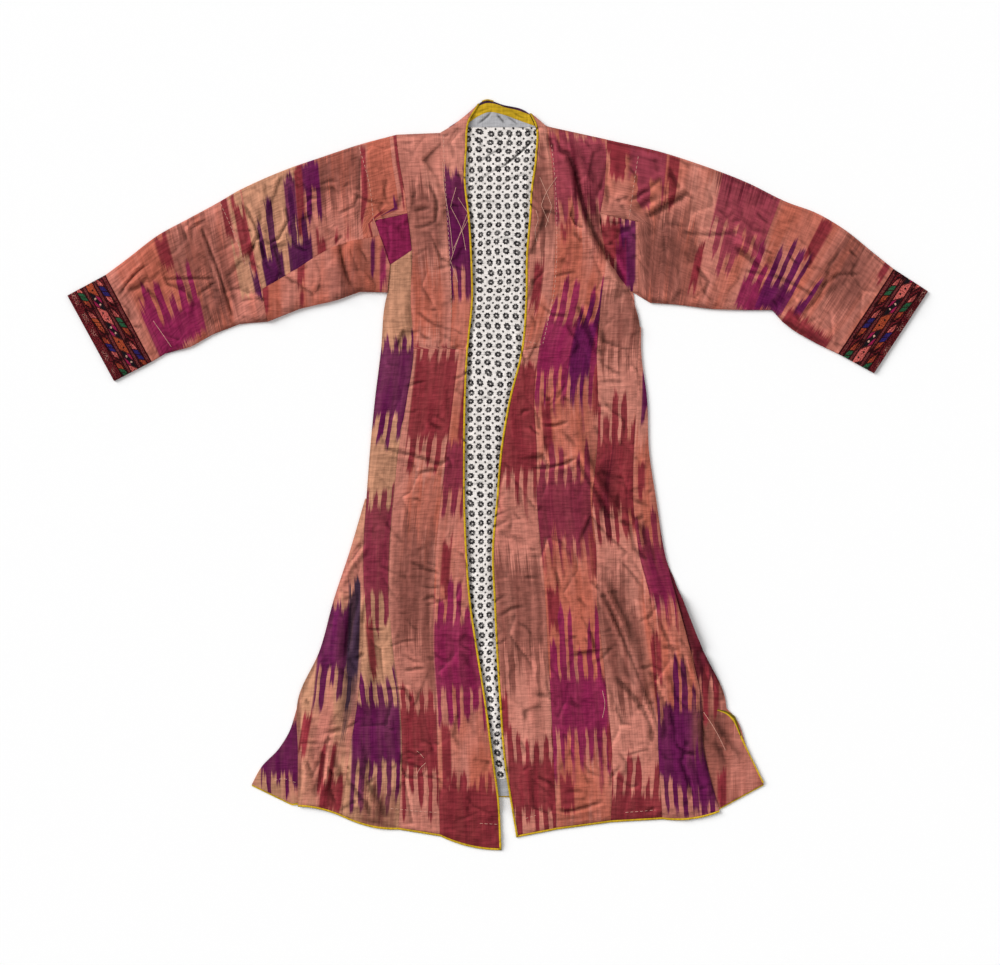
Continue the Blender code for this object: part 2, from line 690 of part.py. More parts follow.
def back_edges():
    """The back's side edges, a little inside the front's outline."""
    right = [RIGHT_ARMHOLE[0], RIGHT_ARMPIT]
    right += shifted(level_points("right_out", 0, 3) + [(-217, -39)], BACK_INSIDE)
    right += [(-218, -206), (-224, -371), (-230, -534.9)]
    left = [LEFT_ARMHOLE[0], LEFT_ARMPIT] + shifted(level_points("left_out", 0, 3), -BACK_INSIDE)
    left += [(257, -39), (259, -206), (260, -371), (262, -535.4)]
    return right, left


def add_back():
    right, left = back_edges()
    width = LEFT_ARMHOLE[0][0] - RIGHT_ARMHOLE[0][0]
    shares = tuple((x - RIGHT_ARMHOLE[0][0]) / width for x, _ in BACK_SHOULDERS)
    plan = ladder(shifted(right, SEAM / 2), shifted(left, -SEAM / 2), shares, rows=2)
    plan[0] = [(lerp(plan[0][0][0], plan[0][-1][0], s), y - SEAM / 2)
               for s, (_, y) in zip(shares, BACK_SHOULDERS)]
    plan[-1] = [(x, back_hem_line(x) + BINDING_WIDTH + SEAM) for x, _ in plan[-1]]
    lay("back_body", plan, on_back, CLOTH, "ikat")


def back_gore_seams(side):
    if side == "right":
        outer = [(-217.6, -41)] + shifted(level_points("right_out", 4, 7), BACK_INSIDE)
        outer += [(-330, -380), (-346, -427), (-362, -452), (-391, -482),
                  (-406, -513 + BINDING_WIDTH + SEAM)]
        seam = [(-216.2, -41), (-216.9, -124), (-218, -206), (-221, -289), (-224, -371),
                (-225.7, -418), (-227, -453), (-228.5, -494), (-230, -534.9 + BINDING_WIDTH + SEAM)]
        return outer, shifted(seam, -SEAM / 2)
    outer = [(260.5, -41), (273, -124), (304, -206), (338, -289), (375, -371), (377, -385),
             (391, -400), (412, -454), (438, -512 + BINDING_WIDTH + SEAM)]
    seam = [(257, -39), (258, -122.5), (259, -206), (259.5, -288.5), (260, -371), (260.2, -387),
            (260.4, -403), (261, -453), (262, -535.4 + BINDING_WIDTH + SEAM)]
    return shifted(seam, SEAM / 2), outer


def add_back_gores():
    hem_up = BINDING_WIDTH + SEAM
    outer, seam = back_gore_seams("right")
    plan = ladder(outer, seam, BACK_GORE_COLUMNS, rows=2)
    plan[-1] = [(x, back_hem_line(x) + hem_up) for x, _ in plan[-1]]
    lay("right_back_gore", plan, on_back, CLOTH, "ikat")
    seam, outer = back_gore_seams("left")
    plan = []
    for (x0, y0), (x1, y1) in zip(subdivided(seam, 2), subdivided(outer, 2)):
        middle = min(roll_line(y1) + ROLL_CLEARANCE, x1 - ROLL_INSET)
        share = (middle - x0) / (x1 - x0)
        shares = [share * k / 3 for k in range(3)] + [lerp(share, 1, k / 4) for k in range(5)]
        plan.append([mix((x0, y0), (x1, y1), s) for s in shares])
    plan[-1] = [(x, back_hem_line(x) + hem_up) for x, _ in plan[-1]]
    lay("left_back_gore", plan, back_gore_top, CLOTH, "ikat")


def back_hem_line(x):
    return height_on(BACK_HEM, x)


def add_back_binding():
    start, end = BACK_HEM[0][0], BACK_HEM[-1][0]
    outer = [(x, back_hem_line(x)) for x in (lerp(start, end, s) for s in even(BACK_BINDING_CELLS))]
    plan = [[p, (p[0], p[1] + BACK_BINDING_WIDTH)] for p in outer]
    lay("back_binding", plan, on_back, CLOTH - 0.15, "yellow binding")


def add_lining():
    right = [(row[1], row[0]) for row in LINING_ROWS]
    left = [(row[2], row[0]) for row in LINING_ROWS]
    plan = ladder(right, left, LINING_COLUMNS, rows=2)
    lay("back_lining", plan, on_lining, LINING, "lining print")
    low = LINING_ROWS[-1]
    top = [(low[1], low[0] - SEAM), (low[2], low[0] - SEAM)]
    hem = shifted(top, 0, -FACING_DEPTH)
    plan = ladder([top[0], hem[0]], [top[1], hem[1]], LINING_COLUMNS, rows=2)
    lay("back_hem_facing", plan, on_lining, LINING, "grey facing")


def add_collar():
    plan = [list(COLLAR_LOWER), list(COLLAR_MIDDLE), list(COLLAR_UPPER)]
    lay("collar_back", plan, on_back, CLOTH, "ikat")
    yellow = [shifted(FACING_MIDDLE, 0, SEAM / 2), list(FACING_TOP)]
    grey = [list(FACING_LOW), shifted(FACING_MIDDLE, 0, -SEAM / 2)]
    lay("neck_facing_yellow", yellow, on_lining, LINING, "yellow binding")
    lay("neck_facing_grey", grey, on_lining, LINING, "grey facing")


def main():
    for item in list(bpy.data.objects):
        bpy.data.objects.remove(item, do_unlink=True)
    group = bpy.data.collections.new(COLLECTION)
    bpy.context.scene.collection.children.link(group)
    add_back()
    add_back_gores()
    add_back_binding()
    add_lining()
    add_collar()
    add_front_panels()
    add_neckbands()
    add_bindings()
    add_right_sleeve()
    add_left_sleeve()
    add_cuffs()
    add_gussets()


main()
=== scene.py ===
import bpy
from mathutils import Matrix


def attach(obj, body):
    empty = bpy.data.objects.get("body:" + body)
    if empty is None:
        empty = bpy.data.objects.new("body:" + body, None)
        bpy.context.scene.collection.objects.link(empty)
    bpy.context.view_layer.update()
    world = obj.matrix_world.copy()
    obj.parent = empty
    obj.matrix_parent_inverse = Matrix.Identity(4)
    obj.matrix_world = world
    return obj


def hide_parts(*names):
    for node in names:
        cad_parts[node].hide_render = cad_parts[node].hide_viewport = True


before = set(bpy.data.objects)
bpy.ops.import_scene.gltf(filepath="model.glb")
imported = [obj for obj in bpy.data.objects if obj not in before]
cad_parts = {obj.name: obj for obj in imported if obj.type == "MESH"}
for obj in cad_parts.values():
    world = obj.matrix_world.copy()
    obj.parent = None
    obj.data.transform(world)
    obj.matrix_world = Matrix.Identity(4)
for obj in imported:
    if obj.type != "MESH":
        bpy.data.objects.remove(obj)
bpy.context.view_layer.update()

import math
import bpy
import numpy as np
from mathutils import Vector, noise

# Everything below is written in millimetres and becomes metres when a mesh is placed.
mm = 0.001

cloth = {
    "wall": 1.8, "liningWall": 1.0, "cuffWall": 2.0, "air": 0.3, "seam": 0.16,
    "cell": 2.6, "sleeveCell": 2.9, "backCell": 8.0,   # how fine each kind of sheet is
    "edgeCell": 1.1,             # the narrow one beside each seam
    "turnedEdge": 0.5, "turnedRun": 1.7,   # how far the cloth dips at a seam, and within what
    "softAngle": 50,             # sharper edges than this, in degrees, stay crisp
}

# How the front layer lies over the back one, in folds, creases, nicks, crumpling and facets.
lie = {
    "edgeRun": 30.0, "overhangStart": 6.0, "overhangRun": 34.0, "settle": 12.0,
    "level": 2.8, "least": 0.1, "wide": 0.9, "wideRuns": (47, 61), "wideStart": 1.3,
    "long": 0.7, "longSlant": 1.7, "longRun": 83,
    "foldEnds": (1.25, 0.5),     # where a fold has faded out, in half lengths, and over how much
    "crumple": 0.9, "crumpleSize": (24.0, 36.0), "crumpleSeed": 3.1,
    "dimple": 0.40, "dimpleSize": (10.0, 10.0), "dimpleSeed": 8.7,
    "facets": ((46.0, 0.088, 0.14, 5), (22.0, 0.05, 0.17, 11)),   # size, tilt, softness, seed
    "facetSlant": (0.25, 0.15), "facetLong": 1.35, "facetCount": 90,
    "creaseDepth": 1.9, "creaseWidth": 0.85, "creaseEnd": 22.0, "creaseSpacing": 6.0,
    "foldRidge": 0.9, "foldTrough": (1.7, 0.8), "tuckLips": 0.45, "lipPlace": (2.0, 1.5),
    "nicks": 480, "nickSeed": 17, "nickSpan": (720, 620), "nickDepth": (0.7, 2.2),
    "nickWidth": (2.3, 3.6), "nickLength": (16.0, 70.0), "nickBend": 0.4, "nickReach": 12,
    "nickTurns": (0.35, -0.7), "nickFirstTurn": 0.6, "turnSpread": 0.45,   # in radians
}
edgeUnderside = cloth["wall"] + cloth["air"]
linedUnderside = cloth["wall"] + cloth["liningWall"] + 2 * cloth["air"]

# Seams across the front at each level below the armholes, from the wearer's right to the left.
levelColumns = ("y", "rightOut", "rightGore", "rightSide", "rightWedge", "rightEdge",
                "leftEdge", "leftWedge", "leftSide", "leftGore", "leftRoll", "leftOut")
levels = (
    (206, -193, None, -139, -64, -49, 38, 68, 163, 231, None, 236),
    (124, -203, None, -150, -74, -53, 18, 60, 165, 229, None, 246),
    (41, -211, None, -164, -84, -54, 4, 64, 163, 224, None, 249),
    (-41, -219, -216, -172, -94, -54, -3, 64, 155, 223, None, 261),
    (-124, -244, -222, -178, -102, -51, -10, 71, 162, 231, None, 274),
    (-206, -271, -221, -179, -106, -45, -7, 78, 163, 251, 295, 305),
    (-289, -294, -224, -173, -107, -33, -3, 82, 172, 259, 317, 338),
    (-371, -330, -231, -162, -102, -20, 2, 87, 180, 262, 335, 375),
    (-454, -365, -244, -158, -99, -9, 8, 91, 188, 264, 340, 412),
)
hemEnds = {
    "rightOver": (-330, -547), "rightGore": (-257, -564), "rightSide": (-164, -585),
    "rightWedge": (-96, -596), "rightEdge": (6, -619),
    "leftEdge": (30, -598), "leftWedge": (97, -585), "leftSide": (186, -573),
    "leftGore": (271, -568), "leftRoll": (365, -556),
}
rightEdgeAtHem = (2, -536)
hemBows = {"rightGore": -4, "rightSide": 6, "rightFrontWedge": 6, "leftGore": 6}
backHem = ((-406, -513), (-340, -545), (-277, -536), (0, -531), (284, -536), (363, -553),
           (438, -512))
rightArmhole = [(-168, 561), (-166, 543), (-162, 512), (-153, 462), (-149, 431)]
rightGussetCorners = {
    "shoulder": (-149, 431), "sleeve": (-203, 419), "side": (-178, 346), "front": (-142, 370),
}
rightNeckSeam = [(-96, 564), (-94, 545), (-91, 513), (-87, 462), (-85, 431), (-81, 370),
                 (-76, 289), (-79, 210)]
rightNeckEdge = [(-30, 612), (-47, 582), (-51, 536), (-53, 487), (-46, 420), (-42, 350),
                 (-41, 289), (-49, 206)]
leftArmhole = [(180, 553), (179, 535), (178, 512), (175, 462), (168, 431)]
leftGussetFold = [(168, 431), (178, 358), (216, 303)]
leftGussetSleeve = [(231, 417), (232, 358), (231, 300)]
leftNeckSeam = [(80, 575), (83, 550), (88, 513), (91, 472), (93, 431), (94, 371), (87, 289),
                (68, 211)]
leftNeckEdge = [(52, 596), (60, 580), (61, 525), (54, 470), (51, 421), (46, 360), (45, 289),
                (38, 206)]

# Sleeves, from the cuff to the armhole: upper edge, lower edge, and how far down the front layer
# the underarm piece begins, as a share of the sleeve's width.
rightStations = (
    (-647, 330, -571, 187, 1), (-612, 356, -549, 200, 1), (-561, 395, -508, 211, 1),
    (-508, 424, -470, 232, 1), (-462, 449, -426, 249, 1), (-426, 470, -380, 253, 1),
    (-422, 472, -377, 254, 0.76), (-346, 505, -327, 274, 0.72), (-285, 526, -264, 289, 0.64),
    (-231, 544, -228, 302, 0.65),
)
leftStations = (
    (652, 340, 561, 200, 1), (617, 368, 523, 218, 1), (571, 405, 470, 252, 1),
    (523, 433, 452, 272, 1), (479, 449, 408, 272, 1), (409, 483, 350, 274, 1),
    (333, 512, 294, 281, 1), (271, 532, 251, 284, 1),
)
leftShares = (0, 0.125, 0.25, 0.375, 0.5, 0.6, 0.7, 0.78, 0.88, 0.94, 1)
cuffEnds = {"right": ((-710, 296), (-633, 155)), "left": ((709, 303), (620, 168))}
armpits = {"right": (-182, 301), "left": (223, 301)}
underarmPoint = 0.34
neckDip = {"depth": 4, "rows": 6}

backShoulders = [(-168, 561), (-132, 561), (-96, 564), (-81, 573), (-38, 573), (4, 573),
                 (44, 573), (84, 573), (116, 566), (148, 559), (180, 553)]
liningRows = ((573, -58, 71), (536, -76, 82), (454, -112, 119), (289, -142, 178),
              (124, -158, 201), (-41, -175, 218), (-206, -219, 251), (-371, -250, 284),
              (-501, -277, 314))   # y, right, left

# The largest folds: x and y where a ridge starts, x and y where it ends, half width and height.
folds = (
    (82, 530, 132, 446, 16, 11), (132, 446, 160, 366, 17, 12), (160, 366, 196, 300, 15, 9),
    (112, 534, 168, 452, 12, 6), (168, 452, 196, 372, 11, 5), (104, 76, 168, -22, 14, 7),
    (168, -22, 236, -120, 14, 8), (236, -120, 262, -200, 12, 5), (124, 36, 190, -66, 11, 5),
    (166, -180, 212, -280, 12, 5), (212, -280, 262, -420, 13, 6), (300, -190, 336, -290, 12, 9),
    (336, -290, 364, -368, 11, 8), (330, -400, 392, -470, 12, 5), (-262, -200, -270, -400, 14, 7),
    (-210, -190, -222, -380, 12, 6), (-250, -470, -204, -566, 13, 8),
    (-278, -470, -292, -540, 11, 6), (-318, -400, -318, -520, 10, 5),
    (-240, 390, -230, 312, 12, 7), (-268, 380, -262, 296, 10, 5), (-394, 460, -392, 372, 13, 4),
    (-612, 300, -560, 340, 12, 4), (-470, 262, -440, 360, 14, 4), (236, 430, 322, 372, 13, 5),
    (392, 390, 440, 348, 13, 6), (440, 348, 462, 290, 12, 5), (462, 262, 552, 226, 12, 6),
    (268, 500, 312, 440, 12, 4), (-104, 470, -98, 386, 10, 4), (60, -300, 44, -520, 14, 3),
    (-66, -250, -60, -420, 12, 4),
)

# Creases, listed by kind: depth, half width, and the points of the line that each follows.
# A tuck is a sharp trough between two lips, a fold is a ridge with a trough on its right hand,
# and a valley is a soft trough.
creases = {
    "tuck": (
        (2.2, 4, (81, 566), (94, 528)),
        (4.2, 6, (94, 540), (116, 528), (127, 503), (135, 462), (152, 412), (168, 380),
         (188, 351), (214, 305)),
        (1.6, 4, (188, 449), (221, 460)), (1.5, 4, (124, 401), (140, 380)),
        (2, 3.5, (69, 82), (94, 82), (122, 91)), (1.6, 3.5, (50, 84), (61, 71), (74, 64)),
        (2, 3.5, (53, 12), (82, 13), (119, 23), (135, 33)), (1.4, 4, (223, -73), (243, -68)),
        (1.4, 3.5, (41, -168), (69, -168)), (1.6, 4, (92, -150), (99, -173), (104, -193)),
        (1.4, 4, (144, -252), (155, -267)), (1.5, 4, (61, -495), (91, -512), (96, -520)),
        (1.7, 4, (94, -549), (111, -554), (135, -549), (177, -536)),
        (1.8, 4, (267, -282), (304, -289)),
        (1.8, 4, (-124, 477), (-112, 475), (-102, 454), (-101, 429), (-106, 408)),
        (1.6, 4, (-145, 434), (-107, 441)), (1.4, 4, (-137, 272), (-104, 248), (-94, 244)),
        (1.4, 4, (-132, 239), (-122, 228), (-107, 221)), (1.6, 4, (-79, 208), (-53, 213)),
        (1.8, 4, (-195, 45), (-153, 36), (-96, 18), (-76, 28)),
        (1.6, 4, (-153, -145), (-104, -152)), (1.6, 4, (-153, -153), (-112, -157), (-91, -162)),
        (1.5, 4, (-124, -201), (-107, -201), (-92, -214)), (1.6, 4, (-158, -322), (-116, -317)),
        (1.5, 4, (-256, -203), (-228, -203)), (1.6, 4, (-238, -307), (-216, -289)),
        (1.6, 4, (-318, -366), (-312, -380)), (1.6, 4, (-322, -462), (-310, -483), (-307, -495)),
        (1.6, 4, (-290, -426), (-272, -421), (-244, -422)), (1.6, 4, (-285, -446), (-274, -429)),
        (2, 4, (-249, -477), (-241, -487)), (2.4, 3, (-627, 294), (-596, 332), (-574, 350)),
        (1.6, 3, (-490, 412), (-457, 325), (-436, 256)), (1.4, 3, (-556, 323), (-457, 324)),
        (1.4, 3, (-501, 292), (-457, 324)), (1.4, 3, (-509, 403), (-478, 424)),
        (1.6, 3.5, (-422, 454), (-396, 400), (-382, 350)),
        (2.2, 4, (-412, 353), (-402, 378), (-384, 408)),
        (1.5, 3, (-385, 378), (-362, 388), (-345, 420), (-352, 452)),
        (1.4, 3, (-336, 376), (-310, 368)),
        (1.5, 4, (164, -165), (188, -225), (214, -290), (248, -375), (265, -425)),
        (1.1, 4, (236, -322), (252, -372), (262, -420)),
        (1.3, 4, (262, -232), (292, -300), (316, -352)),
        (1.2, 4, (312, -430), (302, -470), (322, -520)),
        (1.1, 4, (345, -395), (352, -440), (348, -470)),
        (1.0, 4, (280, 512), (302, 470), (330, 448)), (1.1, 4, (196, 440), (246, 470), (276, 496)),
        (1.0, 4, (300, 400), (352, 396), (405, 402)), (1.1, 4, (400, 338), (470, 322), (530, 290)),
        (1.2, 4, (520, 300), (560, 330), (606, 332)), (1.0, 4, (500, 262), (532, 300), (548, 350)),
        (1.2, 4, (320, 352), (346, 318), (336, 286)),
        (1.3, 4, (-590, 318), (-560, 286), (-548, 262)),
        (1.0, 4, (-628, 300), (-592, 310), (-566, 342)),
        (1.0, 4, (-250, 470), (-214, 452), (-186, 446)),
    ),
    "fold": (
        (2.6, 7, (139, 289), (152, 256), (168, 214), (185, 203)),
        (3, 7, (135, 41), (152, 5), (177, -36), (188, -58), (205, -66)),
        (2.6, 7, (198, -61), (226, -78), (234, -116), (259, -140)),
        (2.4, 6, (152, -165), (168, -177), (185, -206), (210, -256), (214, -272)),
        (2.4, 7, (198, -325), (234, -363), (259, -404), (264, -446)),
        (2.6, 6, (310, -289), (320, -322), (342, -371)),
        (2, 5, (295, -434), (309, -450), (333, -454)),
        (2, 5, (302, -462), (317, -495), (328, -536)),
        (2.4, 5, (-152, -343), (-139, -363), (-134, -376)),
        (2.4, 6, (-210, -109), (-234, -140), (-256, -170), (-266, -198)),
        (3, 8, (-219, -190), (-231, -239), (-241, -305)),
        (3.2, 7, (-279, -450), (-279, -478), (-290, -520), (-297, -536)),
        (2.4, 5, (-272, -478), (-266, -495)),
        (3.4, 8, (-236, -495), (-219, -520), (-203, -544), (-200, -569)),
        (2.6, 7, (-252, 388), (-244, 346), (-228, 305)),
        (2.4, 7, (234, 429), (276, 454), (317, 478)), (2.4, 8, (391, 388), (424, 363), (449, 338)),
    ),
    "valley": (
        (2, 6, (180, 520), (175, 487), (163, 462), (160, 446)), (1.6, 5, (178, 487), (182, 437)),
        (2, 6, (226, 437), (251, 454), (267, 467)), (1.4, 5, (69, 140), (91, 116)),
        (2.2, 7, (94, 82), (119, 58), (135, 38)), (1.5, 5, (168, 182), (210, 162)),
        (1.8, 6, (163, 8), (193, -5), (211, -20)), (1.5, 5, (198, -25), (196, -58)),
        (1.6, 5, (214, -30), (234, -46), (259, -53)), (1.6, 6, (-5, -91), (36, -107), (56, -116)),
        (1.4, 5, (127, -198), (152, -223)),
        (1.8, 6, (53, -361), (86, -365), (119, -376), (144, -388)),
        (1.6, 6, (165, -429), (173, -457), (188, -495)), (1.4, 5, (185, -380), (218, -404)),
        (1.4, 5, (69, -536), (99, -556)), (1.4, 5, (102, -520), (152, -520)),
        (1.6, 5, (280, -322), (295, -371)), (1.6, 4, (284, -371), (292, -446)),
        (1.4, 5, (-167, 437), (-155, 470)), (1.4, 5, (-87, 536), (-66, 569), (-51, 573)),
        (1.6, 5, (-147, 289), (-140, 223)), (1.6, 5, (-120, 91), (-87, 71)),
        (1.8, 6, (-162, -21), (-134, 8)), (1.6, 6, (-129, -371), (-120, -421), (-101, -470)),
        (1.6, 5, (-327, -412), (-318, -446), (-309, -454)), (2, 7, (-307, -520), (-285, -541)),
        (2, 7, (276, 512), (309, 437)), (2.2, 8, (-624, 289), (-549, 338)),
        (1.8, 6, (-389, 446), (-396, 388)),
    ),
}

print("tables ready")


def ramp(share):
    share = np.clip(share, 0.0, 1.0)
    return share * share * (3 - 2 * share)


def mix(p, q, share):
    return tuple(a + (b - a) * share for a, b in zip(p, q))


def shifted(points, dx=0.0, dy=0.0):
    return [(x + dx, y + dy) for x, y in points]


def nearLine(line, x, y):
    best = np.full(np.shape(x), np.inf)
    for (x0, y0), (x1, y1) in zip(line, line[1:]):
        dx, dy = x1 - x0, y1 - y0
        along = np.clip(((x - x0) * dx + (y - y0) * dy) / (dx * dx + dy * dy + 1e-9), 0, 1)
        best = np.minimum(best, np.hypot(x - x0 - along * dx, y - y0 - along * dy))
    return best


def alongLine(line, x, y):
    # signed distance to the line, left of it positive, the way along it and its whole length
    best, side, way = np.full(x.shape, np.inf), np.zeros(x.shape), np.zeros(x.shape)
    run = 0.0
    for (x0, y0), (x1, y1) in zip(line, line[1:]):
        length = max(math.dist((x0, y0), (x1, y1)), 1e-6)
        ux, uy = (x1 - x0) / length, (y1 - y0) / length
        t = np.clip((x - x0) * ux + (y - y0) * uy, 0, length)
        ex, ey = x - x0 - t * ux, y - y0 - t * uy
        away = np.hypot(ex, ey)
        closer = away < best
        best = np.where(closer, away, best)
        side = np.where(closer, np.sign(ux * ey - uy * ex) * away, side)
        way = np.where(closer, run + t, way)
        run += length
    return side, way, run


def smoothLine(knots, steps):
    # a soft curve through the knots, sharp where it turns a corner, with steps[k] parts after
    # knot k
    p = np.array(knots, float)
    gap = np.maximum(np.linalg.norm(np.diff(p, axis=0), axis=1), 1e-6)
    slope = np.diff(p, axis=0) / gap[:, None]
    leaving, arriving = slope.copy(), slope.copy()
    for k in range(1, len(slope)):
        if slope[k - 1] @ slope[k] > 0.85:
            tangent = (slope[k - 1] * gap[k] + slope[k] * gap[k - 1]) / (gap[k - 1] + gap[k])
            leaving[k] = arriving[k - 1] = tangent
    line = []
    for k, parts in enumerate(steps):
        t = (np.arange(parts) / parts)[:, None]
        line.append((2 * t**3 - 3 * t**2 + 1) * p[k] + (t**3 - 2 * t**2 + t) * gap[k] * leaving[k]
                    + (3 * t**2 - 2 * t**3) * p[k + 1] + (t**3 - t**2) * gap[k] * arriving[k])
    return np.vstack(line + [p[-1:]])


def evenSmooth(knots, spacing):
    steps = [max(1, round(math.dist(p, q) / spacing)) for p, q in zip(knots, knots[1:])]
    return smoothLine(knots, steps)


def runAlong(points):
    # how far each point lies along the line that they make
    return np.concatenate([[0], np.cumsum(np.linalg.norm(np.diff(points, axis=0), axis=1))])


def levelPoints(column, first=0, last=None):
    index = levelColumns.index(column)
    return [(row[index], row[0]) for row in levels[first:last] if row[index] is not None]


def toHem(column, first=0):
    return levelPoints(column, first) + [hemEnds[column]]


rightEdgeLine = rightNeckEdge + levelPoints("rightEdge", 1) + [rightEdgeAtHem, hemEnds["rightEdge"]]
leftEdgeLine = leftNeckEdge + toHem("leftEdge", 1)
rightGoreOut = [(-219, -39)] + levelPoints("rightOut", 4, 7)
rightGoreOut += [(-330, -371), (-330, -454), hemEnds["rightOver"]]
leftGoreOut = [(236, 244)] + levelPoints("leftOut", 0, 5) + toHem("leftRoll")
stepUnderBand = (-64, 207.5)


def outlineOfFront():
    line = [rightNeckEdge[0], rightNeckSeam[0], rightArmhole[0]]
    line += [row[0:2] for row in rightStations][::-1] + list(cuffEnds["right"])
    line += [row[2:4] for row in rightStations] + [armpits["right"]]
    line += levelPoints("rightOut", 0, 3) + rightGoreOut
    line += [hemEnds[name] for name in ("rightGore", "rightSide", "rightWedge", "rightEdge")]
    line += [hemEnds[name] for name in ("leftEdge", "leftWedge", "leftSide", "leftGore")]
    line += leftGoreOut[::-1] + [leftGussetFold[2], leftGussetSleeve[2]]
    line += [row[2:4] for row in leftStations][::-1] + [cuffEnds["left"][1], cuffEnds["left"][0]]
    line += [row[0:2] for row in leftStations]
    return line + [leftArmhole[0], leftNeckSeam[0], leftNeckEdge[0]]


outline = outlineOfFront()


def heightOn(line, x):
    points = sorted(line)
    return np.interp(x, [p[0] for p in points], [p[1] for p in points])


def ruffle(x, y, seed, across, along):
    return np.array([noise.noise(Vector((a / across, b / along, seed))) for a, b in zip(x, y)])


def creaseRise(x, y, kind, depth, width, path):
    path = evenSmooth(path, lie["creaseSpacing"])
    reach = 5 * width
    close = ((x > path[:, 0].min() - reach) & (x < path[:, 0].max() + reach)
             & (y > path[:, 1].min() - reach) & (y < path[:, 1].max() + reach))
    rise = np.zeros(x.shape)
    if not close.any():
        return rise
    side, way, length = alongLine([tuple(p) for p in path], x[close], y[close])
    end = min(0.4 * length, lie["creaseEnd"])
    fade = ramp(way / end) * ramp((length - way) / end)
    s = side / width
    trough = np.exp(-s * s)
    if kind == "fold":
        place, half = lie["foldTrough"]
        profile = lie["foldRidge"] * trough - np.exp(-((s + place) / half) ** 2)
    elif kind == "tuck":
        place, half = lie["lipPlace"]
        lips = np.exp(-((s - place) / half) ** 2) + np.exp(-((s + place) / half) ** 2)
        profile = lie["tuckLips"] * lips - trough
    else:
        profile = -trough
    rise[close] = depth * fade * profile
    return rise


def facets(x, y, size, tilt, soft, seed):
    # crumpled cloth is many small planes, each tilted its own way, that meet in creases
    count, (slantX, slantY) = lie["facetCount"], lie["facetSlant"]
    numbers = np.random.default_rng(seed).random((count, count, 4)) - 0.5
    gx = (x + slantX * y) / size + count // 2
    gy = (y - slantY * x) / (lie["facetLong"] * size) + count // 2
    column, row = np.floor(gx).astype(int), np.floor(gy).astype(int)
    away, height = [], []
    for dx in (-1, 0, 1):
        for dy in (-1, 0, 1):
            cell = numbers[(column + dx) % count, (row + dy) % count]
            ox, oy = gx - (column + dx + 0.5 + cell[:, 0]), gy - (row + dy + 0.5 + cell[:, 1])
            away.append(ox * ox + oy * oy)
            height.append(2 * tilt * size * (cell[:, 2] * ox + cell[:, 3] * oy))
    away, height = np.array(away), np.array(height)
    weight = np.exp(-(away - away.min(axis=0)) / soft**2 * 0.5)
    return (weight * height).sum(axis=0) / weight.sum(axis=0)


def nicks(x, y):
    # short sharp wrinkles scattered over the cloth, most of them lying across it or on a slant
    dice = np.random.default_rng(lie["nickSeed"])
    rise = np.zeros(x.shape)
    span, bent = np.array(lie["nickSpan"]), lie["nickBend"]
    for _ in range(lie["nicks"]):
        place = dice.uniform(-span, span)
        usual = lie["nickTurns"][0 if dice.random() < lie["nickFirstTurn"] else 1]
        turn = dice.normal(usual, lie["turnSpread"])
        length, depth = dice.uniform(*lie["nickLength"]), dice.uniform(*lie["nickDepth"])
        width, bend = dice.uniform(*lie["nickWidth"]), dice.uniform(-bent, bent)
        step = np.array((math.cos(turn), math.sin(turn))) * length / 2
        reach = length / 2 + lie["nickReach"]
        close = (np.abs(x - place[0]) < reach) & (np.abs(y - place[1]) < reach)
        if close.any():
            bow = np.array((-step[1], step[0])) * bend
            path = (tuple(place - step), tuple(place + bow), tuple(place + step))
            rise[close] += creaseRise(x[close], y[close], "tuck", depth, width, path)
    return rise


def foldRise(x, y, fold, end, run, slim=1.0):
    # a rounded ridge that fades out at both its ends
    x0, y0, x1, y1, halfWidth, height = fold
    side, _, length = alongLine([(x0, y0), (x1, y1)], x, y)
    past = ((x - x0) * (x1 - x0) + (y - y0) * (y1 - y0)) / length ** 2
    fade = ramp((end - np.abs(2 * past - 1)) / run)
    return height * fade * np.exp(-(side / (slim * halfWidth)) ** 2)


def relief(x, y):
    # how high the front layer stands over the one below it
    acrossRun, alongRun = lie["wideRuns"]
    swell = np.sin(x / acrossRun + lie["wideStart"])
    rise = lie["level"] + lie["wide"] * swell * np.cos(y / alongRun)
    rise = rise + lie["long"] * np.sin((x + lie["longSlant"] * y) / lie["longRun"])
    for fold in folds:
        rise += foldRise(x, y, fold, *lie["foldEnds"])
    for kind, rows in creases.items():
        for depth, width, *path in rows:
            width *= lie["creaseWidth"]
            rise += lie["creaseDepth"] * creaseRise(x, y, kind, depth, width, path)
    rise += lie["crumple"] * ruffle(x, y, lie["crumpleSeed"], *lie["crumpleSize"])
    rise += lie["dimple"] * ruffle(x, y, lie["dimpleSeed"], *lie["dimpleSize"])
    rise += nicks(x, y)
    for size, tilt, soft, seed in lie["facets"]:
        rise += facets(x, y, size, tilt, soft, seed)
    return np.maximum(rise, lie["least"])


def underside(x, y):
    inside = ramp(nearLine(outline, x, y) / lie["edgeRun"])
    opening = np.minimum(nearLine(rightEdgeLine, x, y), nearLine(leftEdgeLine, x, y))
    byOpening = 1 - ramp((opening - lie["edgeRun"] / 2) / (lie["edgeRun"] / 2))
    level = edgeUnderside + (linedUnderside - edgeUnderside) * np.maximum(inside, byOpening)
    pastHem = heightOn(backHem, x) - y
    return level * (1 - ramp((pastHem - lie["overhangStart"]) / lie["overhangRun"]))


def frontTop(x, y):
    shape = np.shape(x)
    x, y = np.ravel(x), np.ravel(y)
    settled = ramp(nearLine(outline, x, y) / lie["settle"])
    return (underside(x, y) + cloth["wall"] + settled * relief(x, y)).reshape(shape)


